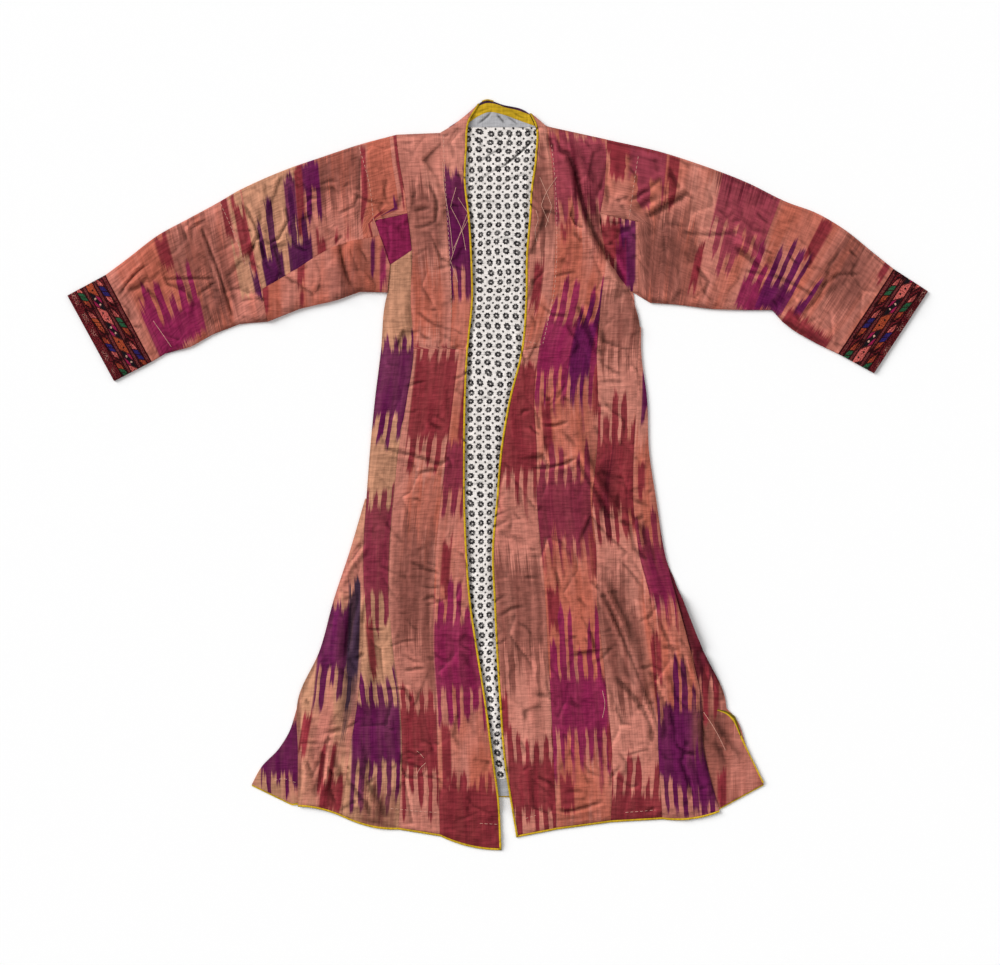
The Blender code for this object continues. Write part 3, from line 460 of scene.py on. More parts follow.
def columnShares(width, cell):
    # even columns with a narrow one at each side, so that the turned edge is crisp
    edge = cloth["edgeCell"] / width
    count = max(2, round(width / cell))
    return np.concatenate([[0.0], np.linspace(edge, 1 - edge, count), [1.0]])


def ladder(left, right, cell, shares=None):
    # rows of plan points from a left seam to a right one, whose knots pair up
    gaps = [max(math.dist(left[k], left[k + 1]), math.dist(right[k], right[k + 1]))
            for k in range(len(left) - 1)]
    steps = [max(1, round(gap / cell)) for gap in gaps]
    a, b = smoothLine(left, steps), smoothLine(right, steps)
    if shares is None:
        shares = columnShares(np.linalg.norm(b - a, axis=1).mean(), cell)
    shares = np.asarray(shares)[None, :, None]
    return a[:, None] * (1 - shares) + b[:, None] * shares


def borderDip(plan):
    # how far each point of a panel dips towards its own border
    allRound = np.concatenate([plan[0], plan[1:, -1], plan[-1, ::-1][1:], plan[::-1, 0][1:]])
    border = [tuple(spot) for spot in allRound[::2]]
    border.append(border[0])
    away = nearLine(border, plan[..., 0], plan[..., 1])
    return cloth["turnedEdge"] * np.exp(-(away / cloth["turnedRun"]) ** 2)


def hollows(heights, reach=2):
    # how far each point lies below the cloth round it (above 0) or stands over it (below 0)
    padded = np.pad(heights, reach, mode="edge")
    rows, columns = heights.shape
    total, span = np.zeros(heights.shape), 2 * reach + 1
    for down in range(span):
        for right in range(span):
            total += padded[down:down + rows, right:right + columns]
    return np.clip(total / span**2 - heights, -1, 1)


def layCloth(name, places, uv, wall, material):
    # a grid whose points are set in place, then given its thickness: places and uv in millimetres
    rows, columns = places.shape[0] - 1, places.shape[1] - 1
    bpy.ops.object.select_all(action="DESELECT")
    bpy.ops.mesh.primitive_grid_add(x_subdivisions=columns, y_subdivisions=rows, size=1)
    piece = bpy.context.object
    piece.name = name
    mesh = piece.data
    start = np.empty(len(mesh.vertices) * 3)
    mesh.vertices.foreach_get("co", start)
    start = start.reshape(-1, 3)
    column = np.rint((start[:, 0] + 0.5) * columns).astype(int)
    row = np.rint((0.5 - start[:, 1]) * rows).astype(int)
    mesh.vertices.foreach_set("co", (places[row, column] * mm).ravel())
    corner = np.empty(len(mesh.loops), int)
    mesh.loops.foreach_get("vertex_index", corner)
    mesh.uv_layers[0].name = "weave"
    mesh.uv_layers[0].data.foreach_set("uv", (uv[row, column] * mm)[corner].ravel())
    # how hollow each point is, which drives the painted shade in creases and the painted highlight
    # on ridges
    hollow = mesh.attributes.new("hollow", "FLOAT", "POINT")
    hollow.data.foreach_set("value", hollows(places[..., 2])[row, column])
    mesh.update()
    solid = piece.modifiers.new("wall", "SOLIDIFY")
    solid.thickness = wall * mm
    solid.offset = -1
    bpy.ops.object.modifier_apply(modifier="wall")
    settled = np.empty(len(mesh.vertices) * 3)
    mesh.vertices.foreach_get("co", settled)
    settled[2::3] = np.maximum(settled[2::3], 0)
    mesh.vertices.foreach_set("co", settled)
    bpy.ops.object.shade_smooth_by_angle(angle=math.radians(cloth["softAngle"]))
    mesh.materials.append(material)
    return piece


leastCut = {"side": 0.0101, "share": 0.301}   # the least that a sheet's cut may be


def cutSize(places):
    across = np.linalg.norm(np.diff(places, axis=1), axis=2).sum(axis=1).max() * mm
    along = np.linalg.norm(np.diff(places, axis=0), axis=2).sum(axis=0).max() * mm
    first = places[1:, 1:] - places[:-1, :-1]
    second = places[1:, :-1] - places[:-1, 1:]
    area = 0.5 * np.linalg.norm(np.cross(first, second), axis=2).sum() * mm * mm
    across, along = max(across, leastCut["side"]), max(along, leastCut["side"])
    return (across, along), min(max(area, leastCut["share"] * across * along), across * along)


def finishSheet(piece, places, node, slot):
    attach(piece, "root")
    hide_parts(node)
    flat, area = cutSize(places)


# Dyes and yarns as they look in daylight, 0 to 255, except yellowInShade, which is the yellow
# painted in shade; maroon also serves as painted shade in a few tints.
dyes = {
    "salmon": (184, 113, 99), "salmonLight": (189, 121, 106), "orange": (173, 92, 74),
    "tan": (181, 128, 101), "wine": (124, 42, 60), "brick": (150, 86, 74),
    "crimson": (127, 42, 50), "rose": (140, 55, 69), "magenta": (128, 30, 70),
    "purple": (92, 20, 68), "purpleDark": (74, 18, 62), "maroon": (86, 24, 36),
    "greyBrown": (124, 71, 62), "slate": (58, 38, 56), "yellow": (192, 156, 34),
    "yellowInShade": (96, 82, 20), "grey": (174, 173, 176), "white": (232, 225, 220),
    "black": (26, 22, 26), "thread": (214, 164, 146), "tape": (40, 10, 14),
    "tapeRed": (112, 32, 38), "tapeBrown": (112, 56, 54), "tapeSalmon": (204, 100, 92),
    "tapeGreen": (40, 84, 56), "tapeBlue": (44, 34, 92), "tapeOrange": (168, 74, 44),
    "tapePink": (150, 28, 72),
}


def toLinear(value):
    value /= 255
    return value / 12.92 if value < 0.04045 else ((value + 0.055) / 1.055) ** 2.4


def dyed(name):
    return tuple(toLinear(value) for value in dyes[name]) + (1.0,)


class Value:
    # what a node gives out, reckoned with like a plain number
    def __init__(self, tree, socket):
        self.tree, self.socket = tree, socket

    def __add__(self, other):
        return calc("ADD", self, other)

    def __sub__(self, other):
        return calc("SUBTRACT", self, other)

    def __rsub__(self, other):
        return calc("SUBTRACT", other, self)

    def __mul__(self, other):
        return calc("MULTIPLY", self, other)

    def __truediv__(self, other):
        return calc("DIVIDE", self, other)

    def __abs__(self):
        return calc("ABSOLUTE", self)


def feed(socket, given):
    # a plain number or colour is set on the socket, and one made by a node is joined to it
    if isinstance(given, Value):
        given.tree.links.new(given.socket, socket)
    else:
        socket.default_value = given


def addNode(kind, inputs, output=0, **settings):
    # inputs by their names or numbers
    tree = next(value.tree for value in inputs.values() if isinstance(value, Value))
    node = tree.nodes.new("ShaderNode" + kind)
    for name, setting in settings.items():
        setattr(node, name, setting)
    for name, value in inputs.items():
        feed(node.inputs[name], value)
    return Value(tree, node.outputs[output])


def calc(operation, *values):
    return addNode("Math", dict(enumerate(values)), operation=operation)


def whole(value):
    return calc("FLOOR", value)


def fraction(value):
    return calc("FRACT", value)


def varied(base, noise, amount):
    # more or less than base, by how far the noise is from its middle
    return calc("MULTIPLY_ADD", noise - 0.5, amount, base)


def softStep(value, low, high):
    return addNode("MapRange", {"Value": value, "From Min": low, "From Max": high}, "Result",
                   interpolation_type="SMOOTHSTEP")


def blend(factor, under, over):
    return addNode("Mix", {0: factor, 6: under, 7: over}, 2, data_type="RGBA")


def vector(x, y, z):
    return addNode("CombineXYZ", {0: x, 1: y, 2: z})


def cloudy(across, along, scaleAcross, scaleAlong, seed=0.0, detail=2.0):
    place = vector(across * scaleAcross, along * scaleAlong, seed)
    return addNode("TexNoise", {"Vector": place, "Scale": 1.0, "Detail": detail})


def chance(value):
    return addNode("TexWhiteNoise", {"W": value}, "Value", noise_dimensions="1D")


def scaled(colour, tone):
    return addNode("VectorMath", {0: colour, "Scale": tone}, operation="SCALE")


def newGroup(name, inputs, outputs):
    # inputs by their usual values, outputs by their kind
    tree = bpy.data.node_groups.new(name, "ShaderNodeTree")
    for label, value in inputs.items():
        kind = "NodeSocketColor" if isinstance(value, tuple) else "NodeSocketFloat"
        socket = tree.interface.new_socket(label, in_out="INPUT", socket_type=kind)
        socket.default_value = value
    for label, kind in outputs.items():
        tree.interface.new_socket(label, in_out="OUTPUT", socket_type="NodeSocket" + kind)
    sockets = tree.nodes.new("NodeGroupInput").outputs
    given = {label: Value(tree, sockets[label]) for label in inputs}
    return tree, given, tree.nodes.new("NodeGroupOutput").inputs


def useGroup(tree, group, **values):
    node = tree.nodes.new("ShaderNodeGroup")
    node.node_tree = group
    for label, value in values.items():
        feed(node.inputs[label], value)
    return {socket.name: Value(tree, socket) for socket in node.outputs}


# The bound bundles of warp that leave the toothed ends of every block. Here and below, a noise
# is its scale across and along the threads, its seed and its detail, and a step is from and to.
threadLook = {
    "pitch": 0.0148, "sway": 0.009, "swayNoise": (42.0, 4.0, 1.7),
    "shake": 0.007, "shakeNoise": (55.0, 26.0, 6.3), "downOffset": 7.37,
    "fat": 0.3, "fatSeed": 57.3, "shankStep": (0.35, 0.46), "tipStep": (0.46, 1.0), "tip": 0.12,
    "shortest": 0.45, "spread": 0.75,
    "yarn": 0.0014, "yarnSpread": 1.5, "coarse": 4.0, "coarseNoise": (330.0, 7.0, 4.2),
}


def makeThreads():
    tree, given, out = newGroup(
        "abrThreads", {"Across": 0.0, "Along": 0.0, "Start": 0.0, "Pitch": threadLook["pitch"]},
        {"Up": "Float", "Down": "Float", "Yarns": "Float"})
    across, along = given["Across"], given["Along"]
    wide = varied(across, cloudy(across, along, *threadLook["swayNoise"]), threadLook["sway"])
    wide = varied(wide, cloudy(across, along, *threadLook["shakeNoise"]), threadLook["shake"])
    for label, offset in (("Up", 0.0), ("Down", threadLook["downOffset"])):
        count = wide / given["Pitch"] + given["Start"] + offset
        number = whole(count)
        hill = 1.0 - abs(fraction(count) * 2.0 - 1.0)
        hill = varied(hill, chance(number + threadLook["fatSeed"]), threadLook["fat"])
        shank = softStep(hill, *threadLook["shankStep"])
        tip = softStep(hill, *threadLook["tipStep"])
        tooth = tip * threadLook["tip"] + shank * (1 - threadLook["tip"])
        length = chance(number) * threadLook["spread"] + threadLook["shortest"]
        feed(out[label], tooth * length)
    yarn = chance(whole(across / threadLook["yarn"]))
    coarse = cloudy(across, along, *threadLook["coarseNoise"]) - 0.5
    feed(out["Yarns"], varied(coarse * threadLook["coarse"], yarn, threadLook["yarnSpread"]))
    return tree


# The ragged border of each block of dye, and how it is worn.
blockLook = {
    "sideJag": 0.0006, "endJag": 0.9, "wornNoise": (75.0, 9.0, 3.0), "wornStep": (0.35, 0.65),
}


def makeDyeBlock():
    tree, given, out = newGroup(
        "abrBlock",
        {"Cloth": (1, 1, 1, 1), "Dye": (1, 0, 0, 1), "Across": 0.0, "Along": 0.0, "Up": 0.0,
         "Down": 0.0, "Yarns": 0.0, "Middle": 0.0, "Half Width": 0.0, "Low": 0.0, "High": 0.0,
         "Reach Up": 0.0, "Reach Down": 0.0, "Soft": 0.004, "Side Soft": 0.001, "Strength": 1.0,
         "Uneven": 0.0},
        {"Cloth": "Color"})
    across, along, soft, sideSoft = [given[key] for key in ("Across", "Along", "Soft", "Side Soft")]
    inside = given["Half Width"] - abs(across - given["Middle"])
    inside = inside + given["Yarns"] * blockLook["sideJag"]
    mask = softStep(inside, sideSoft * -1.0, sideSoft)
    jag = given["Yarns"] * soft * blockLook["endJag"]
    for left, way in ((given["High"] - along, "Up"), (along - given["Low"], "Down")):
        left = left + given[way] * given["Reach " + way] + jag
        mask = mask * softStep(left, soft * -1.0, soft)
    worn = softStep(cloudy(across, along, *blockLook["wornNoise"]), *blockLook["wornStep"])
    mask = mask * (given["Strength"] - worn * given["Uneven"])
    feed(out["Cloth"], blend(mask, given["Cloth"], given["Dye"]))
    return tree


# How strongly each part of the weave tones the cloth and raises it, and its noise.
ribLook = {
    "ribs": 0.20, "ribNoise": (34.0, 240.0, 2.0), "ribStep": (0.36, 0.60), "ribHeight": 0.25,
    "streaks": 0.17, "streakNoise": (300.0, 9.0, 5.0), "streakStep": (0.34, 0.66),
    "streakHeight": 0.10, "bundles": 0.45, "bundleNoise": (95.0, 4.0, 7.0),
    "patches": 0.60, "patchNoise": (17.0, 11.0, 9.0, 3.0),
    "crumple": 0.45, "crumpleNoise": (60.0, 50.0, 12.0, 4.0),
    "cells": (105.0, 70.0, 3.0), "cellBend": (2.2, -1.6), "bendNoise": (28.0, 28.0, 14.0, 2.0),
    "cellHeight": 0.5,
}


def makeRibs():
    tree, given, out = newGroup("silkRibs", {"Across": 0.0, "Along": 0.0, "Amount": 1.0},
                                {"Tone": "Float", "Height": "Float"})
    across, along = given["Across"], given["Along"]
    ribs = softStep(cloudy(across, along, *ribLook["ribNoise"]), *ribLook["ribStep"])
    streaks = softStep(cloudy(across, along, *ribLook["streakNoise"]), *ribLook["streakStep"])
    bundles = cloudy(across, along, *ribLook["bundleNoise"])
    patches = cloudy(across, along, *ribLook["patchNoise"])
    crumple = cloudy(across, along, *ribLook["crumpleNoise"])
    bend = cloudy(across, along, *ribLook["bendNoise"])
    tone = 1.0
    for part, amount in ((ribs, "ribs"), (streaks, "streaks"), (bundles, "bundles"),
                         (patches, "patches"), (crumple, "crumple")):
        tone = varied(tone, part, ribLook[amount])
    feed(out["Tone"], (tone - 1.0) * given["Amount"] + 1.0)
    cellsAcross, cellsAlong, seed = ribLook["cells"]
    bendAcross, bendAlong = ribLook["cellBend"]
    place = vector(across * cellsAcross + bend * bendAcross,
                   along * cellsAlong + bend * bendAlong, seed)
    cells = addNode("TexVoronoi", {"Vector": place, "Scale": 1.0}, "Distance")
    height = ribs * ribLook["ribHeight"] + streaks * ribLook["streakHeight"] + crumple
    feed(out["Height"], height + cells * ribLook["cellHeight"])
    return tree


threadsGroup, blockGroup, ribsGroup = makeThreads(), makeDyeBlock(), makeRibs()

# How dark the creases are painted and how pale the ridges, as painted shade and painted highlight.
paintedCreaseShade = {"dark": 0.50, "plainDark": 1.20, "light": 0.20, "least": 0.15}


def shaded(colour, tone, dark=paintedCreaseShade["dark"]):
    # painted shade in the creases and a painted highlight on the ridges, read from the hollow
    # attribute
    attribute = colour.tree.nodes.new("ShaderNodeAttribute")
    attribute.attribute_name = "hollow"
    hollow = Value(colour.tree, attribute.outputs["Fac"])
    paintedShade = calc("MULTIPLY_ADD", calc("MAXIMUM", hollow, 0.0), -dark, 1.0)
    paintedShade = calc("MAXIMUM", paintedShade, paintedCreaseShade["least"])
    high = calc("MINIMUM", hollow, 0.0) * -paintedCreaseShade["light"]
    return scaled(colour, tone * (paintedShade + high))


surface = {"specular": 0.05, "dentDepth": 0.0028}


def startMaterial(name, roughness, bump):
    # returns what the colour and the dents feed, and the places across and along the threads
    material = bpy.data.materials.new(name)
    material.use_nodes = True
    tree = material.node_tree
    shader = tree.nodes["Principled BSDF"]
    shader.inputs["Roughness"].default_value = roughness
    shader.inputs["Specular IOR Level"].default_value = surface["specular"]
    place = tree.nodes.new("ShaderNodeUVMap")
    place.uv_map = "weave"
    split = tree.nodes.new("ShaderNodeSeparateXYZ")
    tree.links.new(place.outputs[0], split.inputs[0])
    dent = tree.nodes.new("ShaderNodeBump")
    dent.inputs["Strength"].default_value = bump
    dent.inputs["Distance"].default_value = surface["dentDepth"]
    tree.links.new(dent.outputs["Normal"], shader.inputs["Normal"])
    across, along = Value(tree, split.outputs[0]), Value(tree, split.outputs[1])
    return material, shader.inputs["Base Color"], dent.inputs["Height"], across, along


# A block has crisp toothed ends, and a tint is the same with soft ones.
abrLook = {
    "roughness": 0.6, "bump": 0.6, "driftNoise": (30.0, 5.0), "driftSeed": 21.0,
    "driftStep": (0.38, 0.66), "reach": 1.25,
    "block": {"Soft": 0.0070, "Side Soft": 0.0019, "Strength": 1.0, "Uneven": 0.07},
    "tint": {"Soft": 0.020, "Side Soft": 0.011, "Strength": 1.0, "Uneven": 0.45},
}


def abrMaterial(name, look, uvOf):
    # the ground colour, then every block of dye in turn (a few of them painted shade), then the
    # ribs of the weave, then the painted crease shade and ridge highlight
    roughness, bump = abrLook["roughness"], abrLook["bump"]
    material, base, dents, across, along = startMaterial(name, roughness, bump)
    tree, start = material.node_tree, look["start"]
    threads = useGroup(tree, threadsGroup, Across=across, Along=along, Start=start,
                       Pitch=look.get("pitch", threadLook["pitch"]))
    drift = cloudy(across, along, *abrLook["driftNoise"], abrLook["driftSeed"] + start)
    first, second = look["ground"]
    colour = blend(softStep(drift, *abrLook["driftStep"]), dyed(first), dyed(second))
    for kind, dye, x, y, width, height, up, down in look["blocks"]:
        middle, level = uvOf(x, y)
        values = {
            "Cloth": colour, "Dye": dyed(dye), "Across": across, "Along": along,
            "Middle": middle * mm, "Half Width": width / 2 * mm,
            "Low": (level - height / 2) * mm, "High": (level + height / 2) * mm,
            "Reach Up": up * mm * abrLook["reach"], "Reach Down": down * mm * abrLook["reach"],
        }
        colour = useGroup(tree, blockGroup, **values, **threads, **abrLook[kind])["Cloth"]
    ribs = useGroup(tree, ribsGroup, Across=across, Along=along)
    feed(base, shaded(colour, ribs["Tone"]))
    feed(dents, ribs["Height"])
    return material


def plainMaterial(name, dye, roughness, amount, bump):
    material, base, dents, across, along = startMaterial(name, roughness, bump)
    tree = material.node_tree
    ribs = useGroup(tree, ribsGroup, Across=across, Along=along, Amount=amount)
    plain = tree.nodes.new("ShaderNodeRGB")
    plain.outputs[0].default_value = dyed(dye)
    feed(base, shaded(Value(tree, plain.outputs[0]), ribs["Tone"], paintedCreaseShade["plainDark"]))
    feed(dents, ribs["Height"])
    return material


yellowCloth = plainMaterial("mustard binding", "yellow", roughness=0.7, amount=1.0, bump=0.5)
# the yellow binding painted in shade, for the strip's inner side where the gore turns over
shadedYellowCloth = plainMaterial("mustard binding, inner side in painted shade", "yellowInShade", roughness=0.8, amount=1.0,
                           bump=0.5)
greyCloth = plainMaterial("grey facing", "grey", roughness=0.85, amount=0.5, bump=0.5)

# Rings with scalloped edges and a dot between each four of them, as shares of their pitch.
liningLook = {
    "pitch": 0.0153, "ring": 0.200, "ringHalf": 0.130, "dot": 0.115,
    "petals": 0.030, "petalCount": 8.0, "edgeOut": 0.03, "edgeIn": 0.02,
    "wobble": 0.9, "wobbleNoise": (17.0, 17.0, 3.0, 0.0),
    "worn": 0.3, "wornNoise": (220.0, 220.0, 6.0, 3.0), "wornStep": (0.25, 0.6),
    "roughness": 0.85, "bump": 0.6, "ribs": 0.35,
}


def liningMaterial(name, look):
    material, base, dents, across, along = startMaterial(name, look["roughness"], look["bump"])
    wobble = cloudy(across, along, *look["wobbleNoise"]) * look["wobble"]
    columns, rows = across / look["pitch"] + wobble, along / look["pitch"] - wobble

    def fromMiddle(shift):
        x, y = fraction(columns + shift) - 0.5, fraction(rows + shift) - 0.5
        return x, y, calc("SQRT", x * x + y * y)

    def inked(away, edge):
        return softStep(away, edge + look["edgeOut"], edge - look["edgeIn"])

    x, y, away = fromMiddle(0.0)
    petal = calc("COSINE", calc("ARCTAN2", y, x) * look["petalCount"])
    ring = inked(abs(away + petal * look["petals"] - look["ring"]), look["ringHalf"])
    dotAway = fromMiddle(0.5)[2]
    ink = calc("MAXIMUM", ring, inked(dotAway, look["dot"]))
    worn = softStep(cloudy(across, along, *look["wornNoise"]), *look["wornStep"])
    ink = ink * (worn * look["worn"] + (1 - look["worn"]))
    ribs = useGroup(material.node_tree, ribsGroup, Across=across, Along=along, Amount=look["ribs"])
    printed = blend(ink, dyed("white"), dyed("black"))
    feed(base, shaded(printed, ribs["Tone"], paintedCreaseShade["plainDark"]))
    feed(dents, ribs["Height"])
    return material


ringLining = liningMaterial("ring print lining", liningLook)

# Each cuff's repeats: for the two bands of lozenges their middle line, length, start and change of
# colour, and for the zigzag its length and start.
tapeRuns = {
    "right": {
        "lozenges": ((14.5, 60.0, 0.083, 0.5), (50.5, 47.5, 1.142, 0.3334)), "zigzag": (54.0, 0.10),
    },
    "left": {
        "lozenges": ((14.5, 64.0, 0.9375, 0.5), (50.5, 60.0, 0.733, 0.5)), "zigzag": (63.0, 0.845),
    },
}


# The woven tape: widths in millimetres, and what lies between a lozenge's middle and edge in
# shares of its half width. A step is from and to.
lozengeLook = {
    "half": 4.3, "lean": 0.7, "tilt": 0.16, "round": 0.32, "end": 0.92, "thirds": 0.31,
    "roughNoise": (420.0, 420.0, 2.0), "roughEdge": 0.9, "roughSplit": 0.06, "roughTip": 2.2,
    "edge": (1.42, 1.24), "inner": (1.02, 0.82), "split": (0.012, 0.045), "coreEdge": 0.01,
    "orangeTips": (0.64, 0.65), "redTip": (0.55, 0.15), "redAmount": 0.75,
    "greenCores": (0.2, 0.21), "orangeCores": (0.6, 0.61),
}


def makeLozenges():
    look = lozengeLook
    tree, given, out = newGroup(
        "tapeLozenges",
        {"Across": 0.0, "Along": 0.0, "Middle": 0.0, "Long": 0.06, "Start": 0.0, "Change": 0.5},
        {"Mask": "Float", "Colour": "Color"})
    off = given["Across"] - given["Middle"]
    count = (off * look["lean"] + given["Along"]) / given["Long"] + given["Start"]
    number = whole(count)
    fromMiddle = fraction(count) * 2.0 - 1.0
    end = abs(fromMiddle)
    shift = fromMiddle * given["Long"] * (look["tilt"] / 2)
    side = abs(off + shift) / (look["half"] * mm)
    rough = cloudy(given["Across"], given["Along"], *look["roughNoise"]) - 0.5
    reach = side * look["round"] + end / look["end"]
    reach = rough * look["roughEdge"] + calc("MAXIMUM", reach, side)
    third = calc("MINIMUM", abs(end - look["thirds"]), end)
    split = softStep(rough * look["roughSplit"] + third, *look["split"])
    feed(out["Mask"], softStep(reach, *look["edge"]))
    # each tip is salmon or orange and red at its middle, and each core blue, green or orange
    tipPick = chance(number + calc("SIGN", fromMiddle))
    tip = blend(softStep(tipPick, *look["orangeTips"]), dyed("tapeSalmon"), dyed("tapeOrange"))
    red = softStep(rough * look["roughTip"] + side, *look["redTip"]) * look["redAmount"]
    tip = blend(red, tip, dyed("tapeRed"))
    pick = fraction(number * given["Change"])
    core = blend(softStep(pick, *look["greenCores"]), dyed("tapeBlue"), dyed("tapeGreen"))
    core = blend(softStep(pick, *look["orangeCores"]), core, dyed("tapeOrange"))
    inCore = softStep(end, look["thirds"] + look["coreEdge"], look["thirds"] - look["coreEdge"])
    inside = softStep(reach, *look["inner"]) * split
    feed(out["Colour"], blend(inside, dyed("tape"), blend(inCore, tip, core)))
    return tree


lozengesGroup = makeLozenges()

zigzagLook = {
    "middle": 32.5, "half": 6.0, "lean": 1.25, "waver": 0.0036, "bandEdge": 0.0006,
    "odd": (0.2, 0.3), "red": (0.54, 0.62), "night": (0.10, 0.22), "dark": (0.495, 0.505),
    "edge": (0.86, 0.95), "pale": (0.96, 1.0), "paleAmount": 0.6,
    "dotApart": 6.2, "dotOut": 1.4, "dot": (2.25, 1.15), "dotRough": 0.002,
}


def zigzagColour(colour, grain, across, along, long, start):
    # leaning shapes, coloured and dark by turns, each with two dots
    look = zigzagLook
    half, lean = look["half"] * mm, look["lean"]
    off = across - look["middle"] * mm
    rough = grain - 0.5
    wavering = rough * look["waver"] + off
    count = (wavering * lean + along) * (1 / (long * mm)) + start
    inShape = fraction(count * 2.0) * 2.0 - 1.0
    odd = softStep(fraction(whole(count) * 0.5), *look["odd"])
    fill = blend(odd, dyed("tapeOrange"), dyed("tapeSalmon"))
    fill = blend(softStep(grain, *look["red"]), fill, dyed("tapeRed"))
    night = softStep(off / half * inShape, *look["night"])
    night = blend(night, dyed("black"), dyed("tapePink"))
    isDark = softStep(fraction(count), *look["dark"])
    shapes = blend(isDark, fill, night)
    shapes = blend(softStep(abs(inShape), *look["edge"]), shapes, dyed("tape"))
    pale = softStep(abs(inShape), *look["pale"]) * isDark * look["paleAmount"]
    shapes = blend(pale, shapes, dyed("tapeSalmon"))
    inBand = softStep(abs(wavering), half + look["bandEdge"], half - look["bandEdge"])
    colour = blend(inBand, colour, shapes)
    alongShape = inShape * (long * mm / 4) - off * lean
    dotDye = blend(isDark, dyed("black"), dyed("thread"))
    outer, inner = look["dot"]
    for apart in (-1, 1):
        x = alongShape + apart * look["dotApart"] * mm
        y = off - apart * look["dotOut"] * mm
        away = calc("SQRT", x * x + y * y) + rough * look["dotRough"]
        colour = blend(softStep(away, outer * mm, inner * mm), colour, dotDye)
    return colour


# Its bands are placed by their distance from the sleeve.
tapeLook = {
    "roughness": 0.85, "bump": 0.8, "grainNoise": (520.0, 520.0, 1.0, 2.0),
    "grainStep": (0.42, 0.54), "stripes": (5.0, 22.4, 42.3), "stripeStep": (2.6, 1.8),
    "crossedNoise": (90.0, 900.0, 5.0, 1.0), "crossedStep": (0.40, 0.58),
    "lines": (1.2, 8.6, 19.6, 25.2, 39.6, 45.0, 56.2), "lineStep": (1.5, 0.4), "lineRough": 0.0012,
    "knotNoise": (620.0, 620.0, 3.0, 1.0), "knots": 2.6, "knotTone": 0.95, "leastTone": 0.25,
}
squiggleLook = {
    "noise": (230.0, 260.0, 8.0, 0.0), "step": (0.040, 0.018), "amount": 0.75,
    "thickNoise": (40.0, 55.0, 3.0, 0.0), "thickStep": (0.34, 0.46),
    "inner": (59.5, 60.9), "outer": (68.3, 67.5),
}


def tapeMaterial(name, runs):
    look = tapeLook
    material, base, dents, across, along = startMaterial(name, look["roughness"], look["bump"])

    def noiseFrom(numbers):
        return cloudy(across, along, *numbers)

    def nearTo(value, step):
        # a step whose ends are in millimetres
        return softStep(value, *[end * mm for end in step])

    grain = noiseFrom(look["grainNoise"])
    colour = blend(softStep(grain, *look["grainStep"]), dyed("tape"), dyed("tapeRed"))
    # brown stripes crossed by fine dark threads
    crossed = softStep(noiseFrom(look["crossedNoise"]), *look["crossedStep"])
    for stripe in look["stripes"]:
        inside = nearTo(abs(across - stripe * mm), look["stripeStep"])
        colour = blend(inside * crossed, colour, dyed("tapeBrown"))
    colour = zigzagColour(colour, grain, across, along, *runs["zigzag"])
    for middle, long, start, change in runs["lozenges"]:
        found = useGroup(material.node_tree, lozengesGroup, Across=across, Along=along,
                         Middle=middle * mm, Long=long * mm, Start=start, Change=change)
        colour = blend(found["Mask"], colour, found["Colour"])
    for line in look["lines"]:
        away = (grain - 0.5) * look["lineRough"] + abs(across - line * mm)
        colour = blend(nearTo(away, look["lineStep"]), colour, dyed("tape"))
    # pale squiggles in the outer band, some places thick with them
    squiggle = abs(noiseFrom(squiggleLook["noise"]) - 0.5)
    thick = softStep(noiseFrom(squiggleLook["thickNoise"]), *squiggleLook["thickStep"])
    squiggle = softStep(squiggle, *squiggleLook["step"]) * thick
    squiggle = squiggle * nearTo(across, squiggleLook["inner"])
    squiggle = squiggle * nearTo(across, squiggleLook["outer"]) * squiggleLook["amount"]
    colour = blend(squiggle, colour, dyed("thread"))
    knots = noiseFrom(look["knotNoise"])
    tone = calc("MAXIMUM", varied(look["knotTone"], knots, look["knots"]), look["leastTone"])
    feed(base, scaled(colour, tone))
    feed(dents, knots)
    return material


cuffTape = {side: tapeMaterial(side + " cuff tape", runs) for side, runs in tapeRuns.items()}
print("materials ready")


# Each dyed piece: its ground dyes, the seam that its threads run beside, where the bundles of warp
# start, and the blocks of dye, a few of them painted shade, by kind, dye, x, y, width, height, and
# how far the teeth reach up and down.
rightGore = {
    "node": "right_gore", "ground": ("tan", "salmon"), "threads": "right", "start": 0.2,
    "blocks": (
        ("tint", "salmon", -244, -165, 66, 82, 16, 16),
        ("block", "purple", -269, -267, 53, 96, 13, 56),
        ("block", "slate", -236, -262, 20, 140, 30, 40),
        ("tint", "slate", -240, -340, 20, 116, 23, 23),
        ("block", "crimson", -318, -424, 15, 56, 8, 10),
        ("block", "crimson", -292, -483, 8, 66, 10, 10),
        ("block", "crimson", -272, -480, 8, 66, 10, 10),
        ("block", "crimson", -274, -530, 38, 56, 13, 0),
    ),
}
rightSide = {
    "node": "right_side", "ground": ("tan", "tan"), "threads": "right", "start": 0.5,
    "blocks": (
        ("block", "purple", -172, 152, 59, 109, 33, 41),
        ("block", "wine", -200, -125, 46, 140, 46, 50),
        ("block", "crimson", -208, -280, 12, 82, 10, 13),
        ("block", "purple", -200, -426, 82, 96, 63, 63),
        ("tint", "greyBrown", -198, -556, 56, 66, 23, 13),
    ),
}
rightFront = {
    "node": "right_front", "ground": ("salmon", "salmonLight"), "threads": "right", "start": 0.1,
    "blocks": (
        ("tint", "greyBrown", -122, 417, 50, 109, 16, 26),
        ("tint", "orange", -122, 289, 66, 99, 20, 20),
        ("block", "crimson", -101, 127, 82, 132, 30, 46),
        ("tint", "orange", -120, -58, 66, 99, 33, 33),
        ("tint", "greyBrown", -140, -170, 66, 165, 26, 33),
        ("tint", "greyBrown", -147, -214, 36, 99, 16, 16),
        ("tint", "greyBrown", -112, -305, 20, 132, 16, 23),
        ("block", "crimson", -129, -437, 61, 99, 50, 63),
    ),
}
